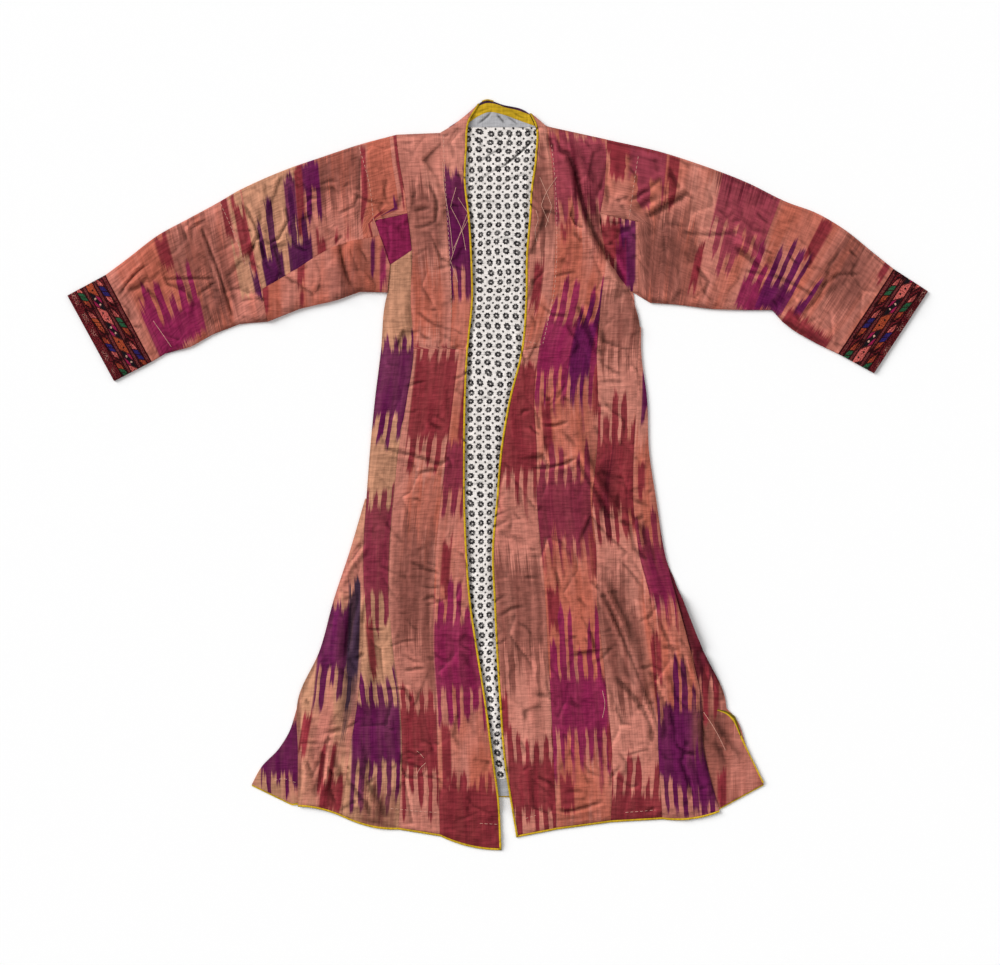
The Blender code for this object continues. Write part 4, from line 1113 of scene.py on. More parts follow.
rightFrontWedge = {
    "node": "right_front_wedge", "ground": ("orange", "salmon"), "threads": "left", "start": 0.7,
    "blocks": (
        ("tint", "salmon", -46, -107, 99, 116, 33, 33),
        ("block", "crimson", -56, 124, 8, 132, 10, 13), ("block", "wine", -74, 13, 50, 76, 10, 41),
        ("block", "crimson", -87, -153, 15, 66, 16, 20),
        ("block", "magenta", -66, -297, 79, 109, 53, 59),
        ("block", "crimson", -86, -462, 15, 79, 16, 16),
        ("block", "crimson", -43, -573, 109, 116, 20, 0),
    ),
}
leftFrontWedge = {
    "node": "left_front_wedge", "ground": ("salmon", "salmonLight"), "threads": "right",
    "start": 0.3,
    "blocks": (
        ("block", "crimson", 36, 94, 73, 175, 10, 59), ("tint", "salmon", 36, -74, 73, 82, 20, 20),
        ("tint", "greyBrown", 36, -218, 79, 139, 20, 56),
        ("block", "crimson", 10, -388, 13, 50, 10, 10),
        ("block", "crimson", 58, -512, 79, 82, 56, 40),
    ),
}
leftFront = {
    "node": "left_front", "ground": ("salmon", "orange"), "threads": "left", "start": 0.9,
    "blocks": (
        # The three maroon tints are painted shade in the fold that runs down from the neck; the
        # rose block beside them is dye.
        ("block", "rose", 135, 503, 92, 102, 13, 36), ("tint", "maroon", 128, 500, 20, 66, 13, 20),
        ("tint", "maroon", 150, 446, 20, 50, 20, 20), ("tint", "maroon", 164, 404, 16, 50, 20, 20),
        ("block", "crimson", 112, 376, 18, 59, 13, 16),
        ("tint", "orange", 102, 338, 82, 82, 16, 16),
        ("block", "magenta", 120, 214, 102, 79, 53, 69),
        ("block", "purple", 138, 205, 34, 92, 40, 76),
        ("block", "crimson", 160, 137, 10, 73, 10, 10), ("tint", "orange", 109, 74, 92, 82, 23, 23),
        ("block", "crimson", 81, 79, 15, 69, 10, 10), ("block", "wine", 109, -58, 92, 99, 46, 50),
        ("block", "crimson", 158, -140, 13, 66, 10, 10),
        ("tint", "orange", 116, -214, 86, 148, 26, 26),
        ("block", "crimson", 91, -219, 20, 54, 10, 13),
        ("block", "magenta", 135, -380, 96, 86, 89, 79),
        ("block", "crimson", 185, -441, 13, 59, 10, 10),
        ("tint", "orange", 140, -520, 82, 82, 23, 16),
        ("block", "crimson", 114, -526, 23, 46, 10, 10),
    ),
}
leftSide = {
    "node": "left_side", "ground": ("salmon", "salmonLight"), "threads": "left", "start": 0.6,
    "blocks": (
        ("tint", "greyBrown", 201, 248, 69, 82, 16, 30),
        ("tint", "orange", 240, -5, 40, 157, 20, 20), ("block", "crimson", 196, 0, 78, 112, 60, 53),
        ("tint", "maroon", 178, -22, 22, 96, 20, 30),
        ("tint", "greyBrown", 205, -289, 79, 132, 33, 33),
        ("tint", "greyBrown", 192, -222, 50, 90, 30, 30),
        ("tint", "orange", 254, -280, 25, 182, 20, 20),
        ("block", "crimson", 261, -314, 12, 82, 10, 10),
        ("block", "crimson", 229, -553, 86, 50, 50, 0),
    ),
}
leftGore = {
    "node": "left_gore", "ground": ("salmon", "salmonLight"), "threads": "left", "start": 0.4,
    "blocks": (
        ("tint", "orange", 242, -30, 40, 160, 20, 20),
        ("block", "purple", 246, 136, 14, 62, 20, 20),
        ("block", "crimson", 237, -4, 12, 44, 10, 13), ("block", "wine", 261, -160, 53, 86, 46, 50),
        ("tint", "magenta", 270, -180, 40, 60, 20, 30),
        ("tint", "orange", 284, -316, 90, 150, 26, 16),
        ("block", "crimson", 264, -300, 9, 60, 10, 16),
        ("block", "purple", 284, -452, 50, 92, 40, 50),
        ("block", "purple", 318, -452, 58, 130, 66, 45),
        ("block", "purple", 344, -500, 30, 90, 26, 30),
        ("tint", "greyBrown", 330, -415, 20, 60, 20, 20),
    ),
}
frontPanels = {
    "rightGore": rightGore, "rightSide": rightSide, "rightFront": rightFront,
    "rightFrontWedge": rightFrontWedge, "leftFrontWedge": leftFrontWedge, "leftFront": leftFront,
    "leftSide": leftSide, "leftGore": leftGore,
}
bindingWidth = 2.8
seam = cloth["seam"]
half, strip = seam / 2, bindingWidth + seam


def frontSeams(name):
    # the knots of a panel's two long seams, from its upper end down
    gusset, goreTip, underBand = rightGussetCorners, (-217, -39), (68, 210.5)
    if name == "rightGore":
        left, right = rightGoreOut, [goreTip] + toHem("rightGore", 4)
    elif name == "rightSide":
        left = [gusset["side"], armpits["right"], (-185, 289)] + levelPoints("rightOut", 0, 3)
        left += [goreTip] + toHem("rightGore", 4)
        right = [gusset["front"], (-143, 329.5), (-144, 289)] + levelPoints("rightSide", 0, 3)
        right += [(-171.8, -39)] + toHem("rightSide", 4)
    elif name == "rightFront":
        left = rightArmhole + [gusset["front"], (-144, 289), (-139, 208), (-139, 206)]
        left += toHem("rightSide", 1)
        right = rightNeckSeam[:-1] + [(-79, 209.5), stepUnderBand] + toHem("rightWedge", 1)
    elif name == "rightFrontWedge":
        left = [stepUnderBand] + levelPoints("rightWedge", 1)
        left += [mix(left[-1], hemEnds["rightWedge"], 0.5), hemEnds["rightWedge"]]
        right = [(-49, 205.5)] + levelPoints("rightEdge", 1)
        return shifted(left, half), shifted(right + [rightEdgeAtHem, hemEnds["rightEdge"]], -strip)
    elif name == "leftFrontWedge":
        left, right = [(38, 205.5)] + toHem("leftEdge", 1), [underBand] + toHem("leftWedge", 1)
        return shifted(left, strip), shifted(right, -half)
    elif name == "leftFront":
        left = leftNeckSeam[:-1] + [underBand] + toHem("leftWedge", 1)
        right = leftArmhole + [leftGussetFold[1], (170, 289)] + toHem("leftSide")
    elif name == "leftSide":
        left = [(178, 357), (172, 306), (170, 289), (166.5, 247)] + toHem("leftSide")
        right = [(182, 352), leftGussetFold[2], (222, 289), (233.5, 247)] + toHem("leftGore")
    else:
        left, right = [(234, 244)] + toHem("leftGore"), leftGoreOut
    return shifted(left, half), shifted(right, -half)


def hemSteps(side):
    # points along the front hem, outwards from the opening
    order = {"right": ("rightEdge", "rightWedge", "rightSide", "rightGore", "rightOver"),
             "left": ("leftEdge", "leftWedge", "leftSide", "leftGore", "leftRoll")}[side]
    panels = {"right": ("rightFrontWedge", "rightFront", "rightSide", "rightGore"),
              "left": ("leftFrontWedge", "leftFront", "leftSide", "leftGore")}[side]
    points, parts = [hemEnds[order[0]]], 12
    for name, start, end in zip(panels, order, order[1:]):
        for k in range(1, parts + 1):
            share = k / parts
            x, y = mix(hemEnds[start], hemEnds[end], share)
            points.append((x, y - hemBows.get(name, 0) * 4 * share * (1 - share)))
    return points


def uvFinder(places, uv):
    # finds what uv holds at the point nearest to a place
    flatPlaces = places[..., :2].reshape(-1, 2)
    flatUv = uv.reshape(len(flatPlaces), -1)

    def find(x, y):
        nearest = np.argmin(((flatPlaces - (x, y)) ** 2).sum(axis=1))
        return flatUv[nearest]
    return find


def beside(plan, side):
    # across the threads from one of a panel's own seams, and along them by height
    edge = plan[:, -1] if side == "right" else plan[:, 0]
    order = np.argsort(edge[:, 1])
    seamX = np.interp(plan[..., 1], edge[order, 1], edge[order, 0])
    return np.stack([plan[..., 0] - seamX, plan[..., 1]], axis=-1)


def withHeights(plan, heights):
    return np.concatenate([plan, np.broadcast_to(heights, plan.shape[:2])[..., None]], axis=-1)


def layPanel(name, look, plan):
    # a piece of the front layer, whose threads run beside one of its seams or along the robe
    places = withHeights(plan, frontTop(plan[..., 0], plan[..., 1]) - borderDip(plan))
    uv = beside(plan, look["threads"]) if "threads" in look else plan.copy()
    material = abrMaterial(name + " abr", look, uvFinder(places, uv))
    piece = layCloth(name + "Cloth", places, uv, cloth["wall"], material)
    finishSheet(piece, places, look["node"], "ikat")


for name, look in frontPanels.items():
    left, right = frontSeams(name)
    plan = ladder(left, right, cloth["cell"])
    hem = hemSteps("right" if name.startswith("right") else "left")
    lift = heightOn(hem, plan[-1, :, 0]) + bindingWidth + seam - plan[-1, :, 1]
    lastKnot = min(left[-2][1], right[-2][1])
    share = np.clip((lastKnot - plan[..., 1]) / (lastKnot - plan[-1, :, 1]), 0, 1)
    plan[..., 1] += ramp(share) * lift
    layPanel(name, look, plan)
print("front panels laid")

rightNeckband = {
    "node": "right_neckband", "ground": ("salmon", "salmonLight"), "threads": "left", "start": 0.15,
    "blocks": (
        ("tint", "salmonLight", -59, 544, 66, 82, 10, 10),
        ("tint", "orange", -59, 248, 73, 99, 16, 16),
        ("block", "purple", -64, 414, 46, 148, 16, 50),
    ),
}
leftNeckband = {
    "node": "left_neckband", "ground": ("salmon", "salmonLight"), "threads": "right", "start": 0.45,
    "blocks": (
        ("tint", "greyBrown", 78, 468, 50, 139, 23, 33),
        ("tint", "orange", 61, 248, 33, 66, 16, 10), ("block", "crimson", 66, 315, 15, 69, 10, 13),
    ),
}

bandPlan = ladder(shifted(rightNeckSeam, half), shifted(rightNeckEdge, -strip), cloth["cell"])
share = np.linspace(0, 1, bandPlan.shape[1])
dipping = np.clip(1 - np.arange(len(bandPlan)) / neckDip["rows"], 0, 1)[:, None]
bandPlan[..., 1] -= neckDip["depth"] * 4 * share * (1 - share) * dipping
layPanel("rightNeckband", rightNeckband, bandPlan)
leftSeamOfBand = [(x - half, y + half) for x, y in leftNeckSeam]
layPanel("leftNeckband", leftNeckband,
         ladder(shifted(leftNeckEdge, strip, half), leftSeamOfBand, cloth["cell"]))
print("neckbands laid")


# A folded strip down each opening edge and out along the hem, rounded over the cloth it binds.
binding = {
    "width": 3.4, "wall": 1.4, "lift": 0.25, "bulge": 0.5, "tuckedIn": 0.5, "columns": 5,
    "spacing": 3.0, "corner": 1.2,   # no row within so many widths of the corner
}


def layBinding(name, side, edge, inwards):
    width = binding["width"]
    down = evenSmooth(edge, binding["spacing"])
    out = evenSmooth(hemSteps(side), binding["spacing"])
    corner = down[-1]
    down = down[np.linalg.norm(down - corner, axis=1) > binding["corner"] * width]
    out = out[np.linalg.norm(out - corner, axis=1) > binding["corner"] * width]
    outer = np.vstack([down, corner, out])
    aside = inwards * width
    inner = np.vstack([down + (aside, 0), corner + (aside, width), out + (0, width)])
    shares = np.linspace(0, 1, binding["columns"] + 1)
    plan = outer[:, None] * (1 - shares[None, :, None]) + inner[:, None] * shares[None, :, None]
    heights = frontTop(plan[..., 0], plan[..., 1]) + binding["lift"]
    heights += binding["bulge"] * (1 - (2 * shares - 1) ** 2)
    heights[:, 0] -= binding["tuckedIn"]
    places = withHeights(plan, heights)
    uv = np.stack(np.broadcast_arrays(shares[None, :] * width, runAlong(outer)[:, None]), axis=-1)
    if inwards < 0:
        places, uv = places[:, ::-1], uv[:, ::-1]
    piece = layCloth(name, places, uv, binding["wall"], yellowCloth)
    finishSheet(piece, places, side + "_binding", "yellow_binding")


layBinding("rightBindingStrip", "right", rightEdgeLine, -1)
layBinding("leftBindingStrip", "left", leftEdgeLine, 1)
print("bindings laid")


rightSleeve = {
    "node": "right_sleeve", "ground": ("salmon", "orange"), "start": 0.35, "pitch": 0.0205,
    "blocks": (
        ("tint", "salmon", -262, 429, 92, 90, 16, 16),
        ("tint", "greyBrown", -264, 505, 86, 66, 7, 56),
        ("block", "orange", -190, 480, 52, 190, 7, 7),
        ("tint", "greyBrown", -500, 362, 76, 92, 30, 30),
        ("tint", "greyBrown", -456, 348, 30, 92, 16, 33),
        ("tint", "greyBrown", -470, 286, 56, 62, 20, 10),
        ("tint", "orange", -578, 338, 66, 116, 26, 26), ("block", "tan", -372, 420, 104, 230, 7, 7),
        ("block", "tan", -430, 445, 26, 60, 7, 16), ("block", "tan", -415, 330, 26, 66, 30, 7),
        ("block", "crimson", -162, 520, 13, 99, 3, 33),
        ("block", "purple", -170, 438, 7, 26, 7, 10),
        ("block", "crimson", -219, 480, 12, 124, 7, 13),
        ("block", "crimson", -206, 420, 9, 46, 7, 13),
        ("block", "purple", -311, 490, 36, 46, 10, 62),
        ("block", "crimson", -328, 466, 15, 92, 7, 23),
        ("block", "purple", -343, 456, 20, 66, 7, 30),
        ("block", "purpleDark", -326, 355, 46, 60, 72, 7),
        ("block", "purpleDark", -368, 334, 44, 50, 70, 7),
        ("block", "purpleDark", -397, 316, 14, 33, 30, 7),
        ("block", "crimson", -290, 373, 16, 30, 20, 0),
        ("block", "crimson", -266, 389, 8, 20, 13, 0),
        ("block", "crimson", -248, 393, 7, 15, 13, 0),
        ("block", "crimson", -417, 398, 26, 66, 20, 26),
        ("block", "crimson", -446, 421, 12, 60, 10, 16),
        ("block", "crimson", -436, 448, 7, 26, 7, 10),
        ("block", "crimson", -552, 368, 20, 46, 16, 16),
        ("block", "purple", -536, 222, 60, 40, 30, 0),
        ("block", "magenta", -526, 236, 112, 56, 50, 0),
        ("block", "magenta", -574, 262, 13, 50, 20, 5),
    ),
}
leftSleeve = {
    "node": "left_sleeve", "ground": ("salmon", "orange"), "start": 0.8, "pitch": 0.0165,
    "blocks": (
        ("tint", "salmonLight", 343, 447, 60, 82, 20, 20),
        ("tint", "orange", 492, 411, 73, 86, 16, 26),
        ("tint", "greyBrown", 284, 351, 92, 116, 50, 10),
        ("tint", "greyBrown", 250, 340, 50, 92, 23, 16),
        ("tint", "greyBrown", 446, 414, 13, 66, 13, 23),
        ("tint", "greyBrown", 573, 335, 80, 109, 23, 16),
        ("block", "crimson", 211, 548, 60, 32, 3, 66), ("block", "rose", 252, 508, 26, 50, 3, 46),
        ("block", "crimson", 289, 502, 18, 50, 3, 36), ("block", "rose", 410, 444, 92, 80, 7, 46),
        # The maroon tint is painted shade along the sleeve's rolled upper edge.
        ("tint", "maroon", 408, 478, 92, 16, 3, 10), ("block", "rose", 384, 380, 34, 40, 3, 40),
        ("block", "crimson", 326, 338, 14, 60, 13, 13),
        ("block", "magenta", 415, 292, 50, 50, 60, 0), ("block", "purple", 458, 290, 60, 50, 72, 0),
        ("block", "purple", 494, 268, 14, 40, 36, 0), ("block", "crimson", 530, 390, 18, 66, 3, 13),
        ("block", "crimson", 637, 338, 12, 36, 0, 10), ("block", "crimson", 507, 239, 89, 33, 3, 3),
    ),
}
rightUnderarm = {
    "node": "right_underarm", "ground": ("orange", "salmon"), "start": 0.25,
    "blocks": (
        ("tint", "greyBrown", -252, 322, 40, 56, 13, 13),
        ("block", "crimson", -394, 285, 15, 40, 7, 10),
        ("block", "crimson", -323, 335, 12, 30, 3, 13),
        ("block", "crimson", -323, 289, 7, 23, 7, 3), ("block", "purple", -206, 358, 7, 43, 7, 10),
        ("block", "magenta", -188, 342, 10, 56, 7, 10),
    ),
}


def stationGrid(stations, shares, endLine, cell):
    # rows from the cuff to the armhole, each from the lower edge to the upper one
    knots = []
    for topX, topY, lowX, lowY, underarm in stations:
        top, low = (topX, topY), (lowX, lowY)
        start = mix(top, low, underarm)
        knots.append([mix(start, top, share) for share in shares])
    knots.append(list(endLine))
    knots = np.array(knots)
    gaps = np.linalg.norm(np.diff(knots, axis=0), axis=2).max(axis=1)
    steps = [max(1, round(gap / cell)) for gap in gaps]
    lines = np.stack([smoothLine(knots[:, k], steps) for k in range(knots.shape[1])], axis=1)
    fine = []
    for k in range(lines.shape[1] - 1):
        width = np.linalg.norm(lines[:, k + 1] - lines[:, k], axis=1).mean()
        parts = max(1, round(width / cell))
        for j in range(parts):
            fine.append(lines[:, k] + (lines[:, k + 1] - lines[:, k]) * j / parts)
    return np.stack(fine + [lines[:, -1]], axis=1)


tube = {"roll": 4.0, "rollAngles": (60, 30, 0, -30, -60), "backColumns": 26}


def tubePlaces(front, back, lift=0.0):
    # a flat tube folded over its upper edge: front columns, the roll, then back columns
    edge = front[:, -1]
    inward = front[:, -3] - edge
    inward /= np.linalg.norm(inward, axis=1)[:, None]
    near = edge + inward * tube["roll"]
    flat = np.concatenate([front[:, :-2], near[:, None]], axis=1)
    top = frontTop(flat[..., 0], flat[..., 1]) + lift
    top[:, 0] -= cloth["turnedEdge"]
    sheet = [withHeights(flat, top)]
    for angle in tube["rollAngles"]:
        turn = math.radians(angle)
        spot = near - inward * tube["roll"] * math.cos(turn)
        z = top[:, -1] / 2 * (1 + math.sin(turn))
        sheet.append(withHeights(spot[:, None], z[:, None]))
    sheet.append(withHeights(np.concatenate([near[:, None], back[:, 2:]], axis=1), 0.0))
    return np.concatenate(sheet, axis=1)


def sleeveUv(places, topColumn):
    # along the sleeve, and along the threads from its upper edge
    steps = np.linalg.norm(np.diff(places, axis=1), axis=2)
    along = np.concatenate([np.zeros((len(places), 1)), np.cumsum(steps, axis=1)], axis=1)
    along = along - along[:, topColumn][:, None]
    run = runAlong(places[:, topColumn // 2])
    return np.stack(np.broadcast_arrays(run[:, None], along), axis=-1)


def facingUp(places, uv):
    # the columns the other way round where the first ones would face down
    outwards, upwards = places[1, 5] - places[0, 5], places[0, 6] - places[0, 5]
    return (places[:, ::-1], uv[:, ::-1]) if np.cross(outwards, upwards)[2] < 0 else (places, uv)


def backGrid(stations, end, rows):
    # the sleeve's back layer, on the same rows as its front
    top = rows[:, -1]
    knots = [row[2:4] for row in stations] + [end]
    tops = [row[0:2] for row in stations] + [rows[-1, -1]]
    run = runAlong(top)
    marks = [run[np.argmin(np.linalg.norm(top - t, axis=1))] for t in tops]
    low = np.stack([np.interp(run, marks, [k[i] for k in knots]) for i in (0, 1)], axis=-1)
    shares = np.linspace(0, 1, tube["backColumns"])[None, :, None]
    return top[:, None] * (1 - shares) + low[:, None] * shares


def laySleeve(side, look, stations, shares, armhole, inset):
    # both its ends stand back by inset from the seams of the cuff and the armhole
    first = tuple(a + b for a, b in zip(stations[0], (inset, 0, inset, 0, 0)))
    rows = (first,) + stations[1:]
    front = stationGrid(rows, shares, shifted(armhole, -inset), cell)
    armpitX, armpitY = armpits[side]
    places = tubePlaces(front, backGrid(rows, (armpitX - inset, armpitY), front))
    topColumn = front.shape[1] + 1
    uv = sleeveUv(places, topColumn)
    uv[..., 1] = -np.abs(uv[..., 1])      # the back is dyed like the front
    find = uvFinder(places[:, :topColumn - 2], uv[:, :topColumn - 2])
    material = abrMaterial(side + "Sleeve abr", look, find)
    places, uv = facingUp(places, uv)
    piece = layCloth(side + "SleeveCloth", places, uv, cloth["wall"], material)
    finishSheet(piece, places, look["node"], "ikat")


cell = cloth["sleeveCell"]
gusset = rightGussetCorners
tip = mix(gusset["sleeve"], gusset["side"], underarmPoint)
alongGusset = [mix(gusset["sleeve"], gusset["shoulder"], k / 3) for k in range(3)]
rightEnd = [tip] + alongGusset + rightArmhole[::-1]
laySleeve("right", rightSleeve, rightStations, np.linspace(0, 1, len(rightEnd)), rightEnd, half)

upSide, middleSide, lowSide = leftGussetSleeve
leftEnd = [mix(start, end, k / 2) for start, end in (
    (lowSide, middleSide), (middleSide, upSide), (upSide, leftGussetFold[0])) for k in range(2)]
laySleeve("left", leftSleeve, leftStations, leftShares, leftEnd + leftArmhole[::-1], -half)
print("sleeves laid")

# The underarm piece fills the sleeve's lower edge from the station where the share drops.
upper = shifted([mix(row[0:2], row[2:4], row[4]) for row in rightStations[6:]], 0, -seam)
lower = [row[2:4] for row in (rightStations[5],) + rightStations[7:]]
upper[0], lower[0] = (upper[0][0] + seam, upper[0][1]), (lower[0][0] + seam, lower[0][1])
upper.append((tip[0] - seam, tip[1] - seam))
lower.append((armpits["right"][0] - seam, armpits["right"][1]))
underarmPlan = ladder(upper, lower, cell)
toCorner = (gusset["side"][0] - seam, gusset["side"][1])
# its last rows are drawn out to the gusset's corner
shares = np.linspace(0, 1, underarmPlan.shape[1])
straight = np.array([mix(upper[-1], lower[-1], share) for share in shares])
bent = np.array([mix(upper[-1], toCorner, share * 2) if share < 0.5 else
                 mix(toCorner, lower[-1], share * 2 - 1) for share in shares])
underarmPlan[-1] = bent
bentRows = 8
for back in range(1, bentRows):
    underarmPlan[-1 - back] += (bent - straight) * ramp(1 - back / bentRows)
layPanel("rightUnderarm", rightUnderarm, underarmPlan)

rightGusset = {
    "node": "right_gusset", "ground": ("magenta", "magenta"), "start": 0.0, "blocks": (),
}
leftGusset = {
    "node": "left_gusset", "ground": ("salmon", "salmonLight"), "start": 0.3, "pitch": 0.0105,
    "blocks": (
        ("block", "crimson", 187, 386, 38, 62, 13, 23),
        ("block", "purple", 214, 362, 26, 104, 16, 10),
        ("block", "magenta", 202, 345, 16, 60, 16, 10),
    ),
}
middle = mix(mix(gusset["shoulder"], gusset["side"], 0.5),
             mix(gusset["sleeve"], gusset["front"], 0.5), 0.5)
# let in by a hair, so that it clears the pieces round it
inset = {key: mix(point, middle, 0.004) for key, point in gusset.items()}
gussetPlan = ladder([inset["sleeve"], inset["side"]], [inset["shoulder"], inset["front"]], cell)
layPanel("rightGusset", rightGusset, gussetPlan)
leftGussetPlan = ladder([(168.3, 430.6), (178.3, 358.3), (216.2, 303.3)],
                        [(230.8, 416.7), (231.8, 358), (230.8, 300.6)], cell)
layPanel("leftGusset", leftGusset, leftGussetPlan)
print("gussets laid")


cuff = {"cell": 3.0, "lift": 0.35}
for side, stations, outwards in (("right", rightStations, -1), ("left", leftStations, 1)):
    topX, topY, lowX, lowY, _ = stations[0]
    endTop, endLow = cuffEnds[side]
    join = [(topX + outwards * half, topY), (lowX + outwards * half, lowY)]
    startRow = (endTop[0], endTop[1], endLow[0], endLow[1], 1)
    front = stationGrid((startRow,), (0, 1), [join[1], join[0]], cuff["cell"])
    back = backGrid((startRow,), join[1], front)
    places = tubePlaces(front, back, cuff["lift"])
    uv = sleeveUv(places, front.shape[1] + 1)
    uv = np.stack([uv[..., 0].max() - uv[..., 0], -uv[..., 1]], axis=-1)
    places, uv = facingUp(places, uv)
    piece = layCloth(side + "CuffTape", places, uv, cloth["cuffWall"], cuffTape[side])
    finishSheet(piece, places, side + "_cuff", "cuff_tape")
print("cuffs laid")


# The back lies flat below everything, with its lining and facings on it.
backBody = {
    "node": "back_body", "ground": ("salmon", "tan"), "start": 0.55,
    "blocks": (
        ("block", "crimson", -90, 420, 70, 90, 40, 40),
        ("block", "purple", 60, 430, 80, 80, 40, 50),
        ("block", "magenta", -20, 250, 80, 80, 50, 50),
        ("block", "crimson", 120, 220, 60, 90, 40, 40),
        ("block", "purple", -120, 60, 80, 90, 50, 50), ("block", "crimson", 40, 20, 80, 90, 50, 50),
        ("block", "crimson", -60, -180, 80, 80, 50, 50),
        ("block", "purple", 120, -200, 80, 90, 50, 50),
        ("block", "magenta", -140, -380, 90, 90, 50, 50),
        ("block", "crimson", 60, -400, 80, 80, 50, 50),
    ),
}
rightBackGore = {
    "node": "right_back_gore", "ground": ("tan", "salmon"), "start": 0.65,
    "blocks": (("block", "purple", -358, -449, 66, 89, 10, 33),),
}
leftBackGore = {
    "node": "left_back_gore", "ground": ("brick", "brick"), "start": 0.05,
    "blocks": (
        ("tint", "salmon", 402, -470, 44, 90, 16, 20),
        ("tint", "salmon", 358, -352, 44, 66, 16, 20),
        ("tint", "greyBrown", 352, -440, 44, 92, 16, 20),
        ("block", "maroon", 300, -230, 90, 118, 23, 20),
        ("block", "maroon", 345, -305, 44, 66, 23, 26),
        ("block", "crimson", 341, -352, 9, 66, 10, 20),
        ("block", "crimson", 360, -352, 9, 63, 10, 20),
        ("block", "crimson", 371, -520, 15, 50, 10, 10),
    ),
}
flapCreases = {
    "fold": (
        (2.4, 4, (340, -391), (355, -417), (366, -434), (378, -462), (383, -478)),
    ),
    "valley": (
        (1.4, 5, (338, -426), (366, -429), (396, -429)), (1.4, 5, (365, -503), (375, -544)),
    ),
}


backFit = {
    "inside": 1.2,            # how far it stays inside the front's outline
    "hemReach": 60.0, "neckFrom": 480, "goreCell": 4.0, "flapCell": 3.2, "stripCell": 2.2,
    "hemShown": 2.5, "hemTop": 1.75, "hemWall": 1.6, "hemPoints": 240, "hemLines": 5,
}


def backEdges():
    inside = backFit["inside"]
    right = [rightArmhole[0], armpits["right"]] + shifted(levelPoints("rightOut", 0, 3), inside)
    right += shifted([(-217, -39)], inside) + [(-218, -206), (-224, -371), (-230, -534.9)]
    left = [leftArmhole[0], armpits["left"]] + shifted(levelPoints("leftOut", 0, 3), -inside)
    left += [(257, -39), (259, -206), (260, -371), (262, -535.4)]
    return right, left


def toBackHem(plan):
    # its last rows are drawn down or up to the hem
    target = heightOn(backHem, plan[-1, :, 0]) + bindingWidth + seam
    lift = target - plan[-1, :, 1]
    share = np.clip(1 - (plan[..., 1] - plan[-1, :, 1]) / backFit["hemReach"], 0, 1)
    plan[..., 1] += ramp(share) * lift
    return plan


def layFlat(name, node, slot, plan, top, wall, material):
    places = withHeights(plan, top)
    piece = layCloth(name + "Cloth", places, plan, wall, material)
    finishSheet(piece, places, node, slot)


def layDyed(name, look, plan, top):
    material = abrMaterial(name + " abr", look, uvFinder(plan, plan))
    layFlat(name, look["node"], "ikat", plan, top, cloth["wall"], material)


right, left = backEdges()
width = leftArmhole[0][0] - rightArmhole[0][0]
shares = [(x - rightArmhole[0][0]) / width for x, _ in backShoulders]
shares = np.interp(np.linspace(0, 10, 41), np.arange(11), shares)
backPlan = ladder(shifted(right, half), shifted(left, -half), cloth["backCell"], shares)
topLift = heightOn(backShoulders, backPlan[0, :, 0]) - half - backPlan[0, :, 1]
neckFrom = backFit["neckFrom"]
share = np.clip((backPlan[..., 1] - neckFrom) / (backPlan[0, :, 1] - neckFrom), 0, 1)
backPlan[..., 1] += share * topLift
layDyed("backBody", backBody, toBackHem(backPlan), cloth["wall"])


# Above turnAt the strip's inner side shows, painted in shade with the darker yellow.
flap = {"level": 1.2, "foldEnds": (1.1, 0.4), "foldSlim": 0.6, "rollGap": 1.5, "rollRun": 3.0,
        "stripWall": 0.8, "turnAt": -430}   # the strip's inner side shows above turnAt


def rollLine(y):
    points = sorted((q[1], q[0]) for q in leftGoreOut)
    return np.interp(y, [p[0] for p in points], [p[1] for p in points])


outer = [(-217.6, -41)] + shifted(levelPoints("rightOut", 4, 7), backFit["inside"])
outer += [(-330, -380), (-346, -427), (-362, -452), (-391, -482), (-406, -508.7)]
inner = [(-216.2, -41), (-216.9, -124), (-218, -206), (-221, -289), (-224, -371),
         (-225.7, -418), (-227, -453), (-228.5, -494), (-230, -530.6)]
gorePlan = toBackHem(ladder(outer, shifted(inner, -half), backFit["goreCell"]))
layDyed("rightBackGore", rightBackGore, gorePlan, cloth["wall"])

outer = [(260.5, -41), (273, -124), (304, -206), (338, -289), (375, -371), (377, -385),
         (391, -400), (412, -454), (438, -507.7)]
inner = [(257, -39), (258, -122.5), (259, -206), (259.5, -288.5), (260, -371), (260.2, -387),
         (260.4, -403), (261, -453), (262, -531.1)]
flapPlan = toBackHem(ladder(shifted(inner, half), outer, backFit["flapCell"]))
x, y = flapPlan[..., 0].ravel(), flapPlan[..., 1].ravel()
rise = np.zeros(x.shape)
for fold in folds:
    if fold[0] > 290 and fold[1] < 0:     # those that reach the flap
        rise += foldRise(x, y, fold, *flap["foldEnds"], flap["foldSlim"])
rise += flap["level"]
for kind, rows in flapCreases.items():
    for depth, creaseWidth, *path in rows:
        rise += creaseRise(x, y, kind, depth, creaseWidth, path)
beyond = ramp((x - rollLine(y) - flap["rollGap"]) / flap["rollRun"])
rise = (np.maximum(rise, 0) * beyond).reshape(flapPlan.shape[:2])
flapTop = cloth["wall"] + rise
layDyed("leftBackGore", leftBackGore, flapPlan, flapTop)

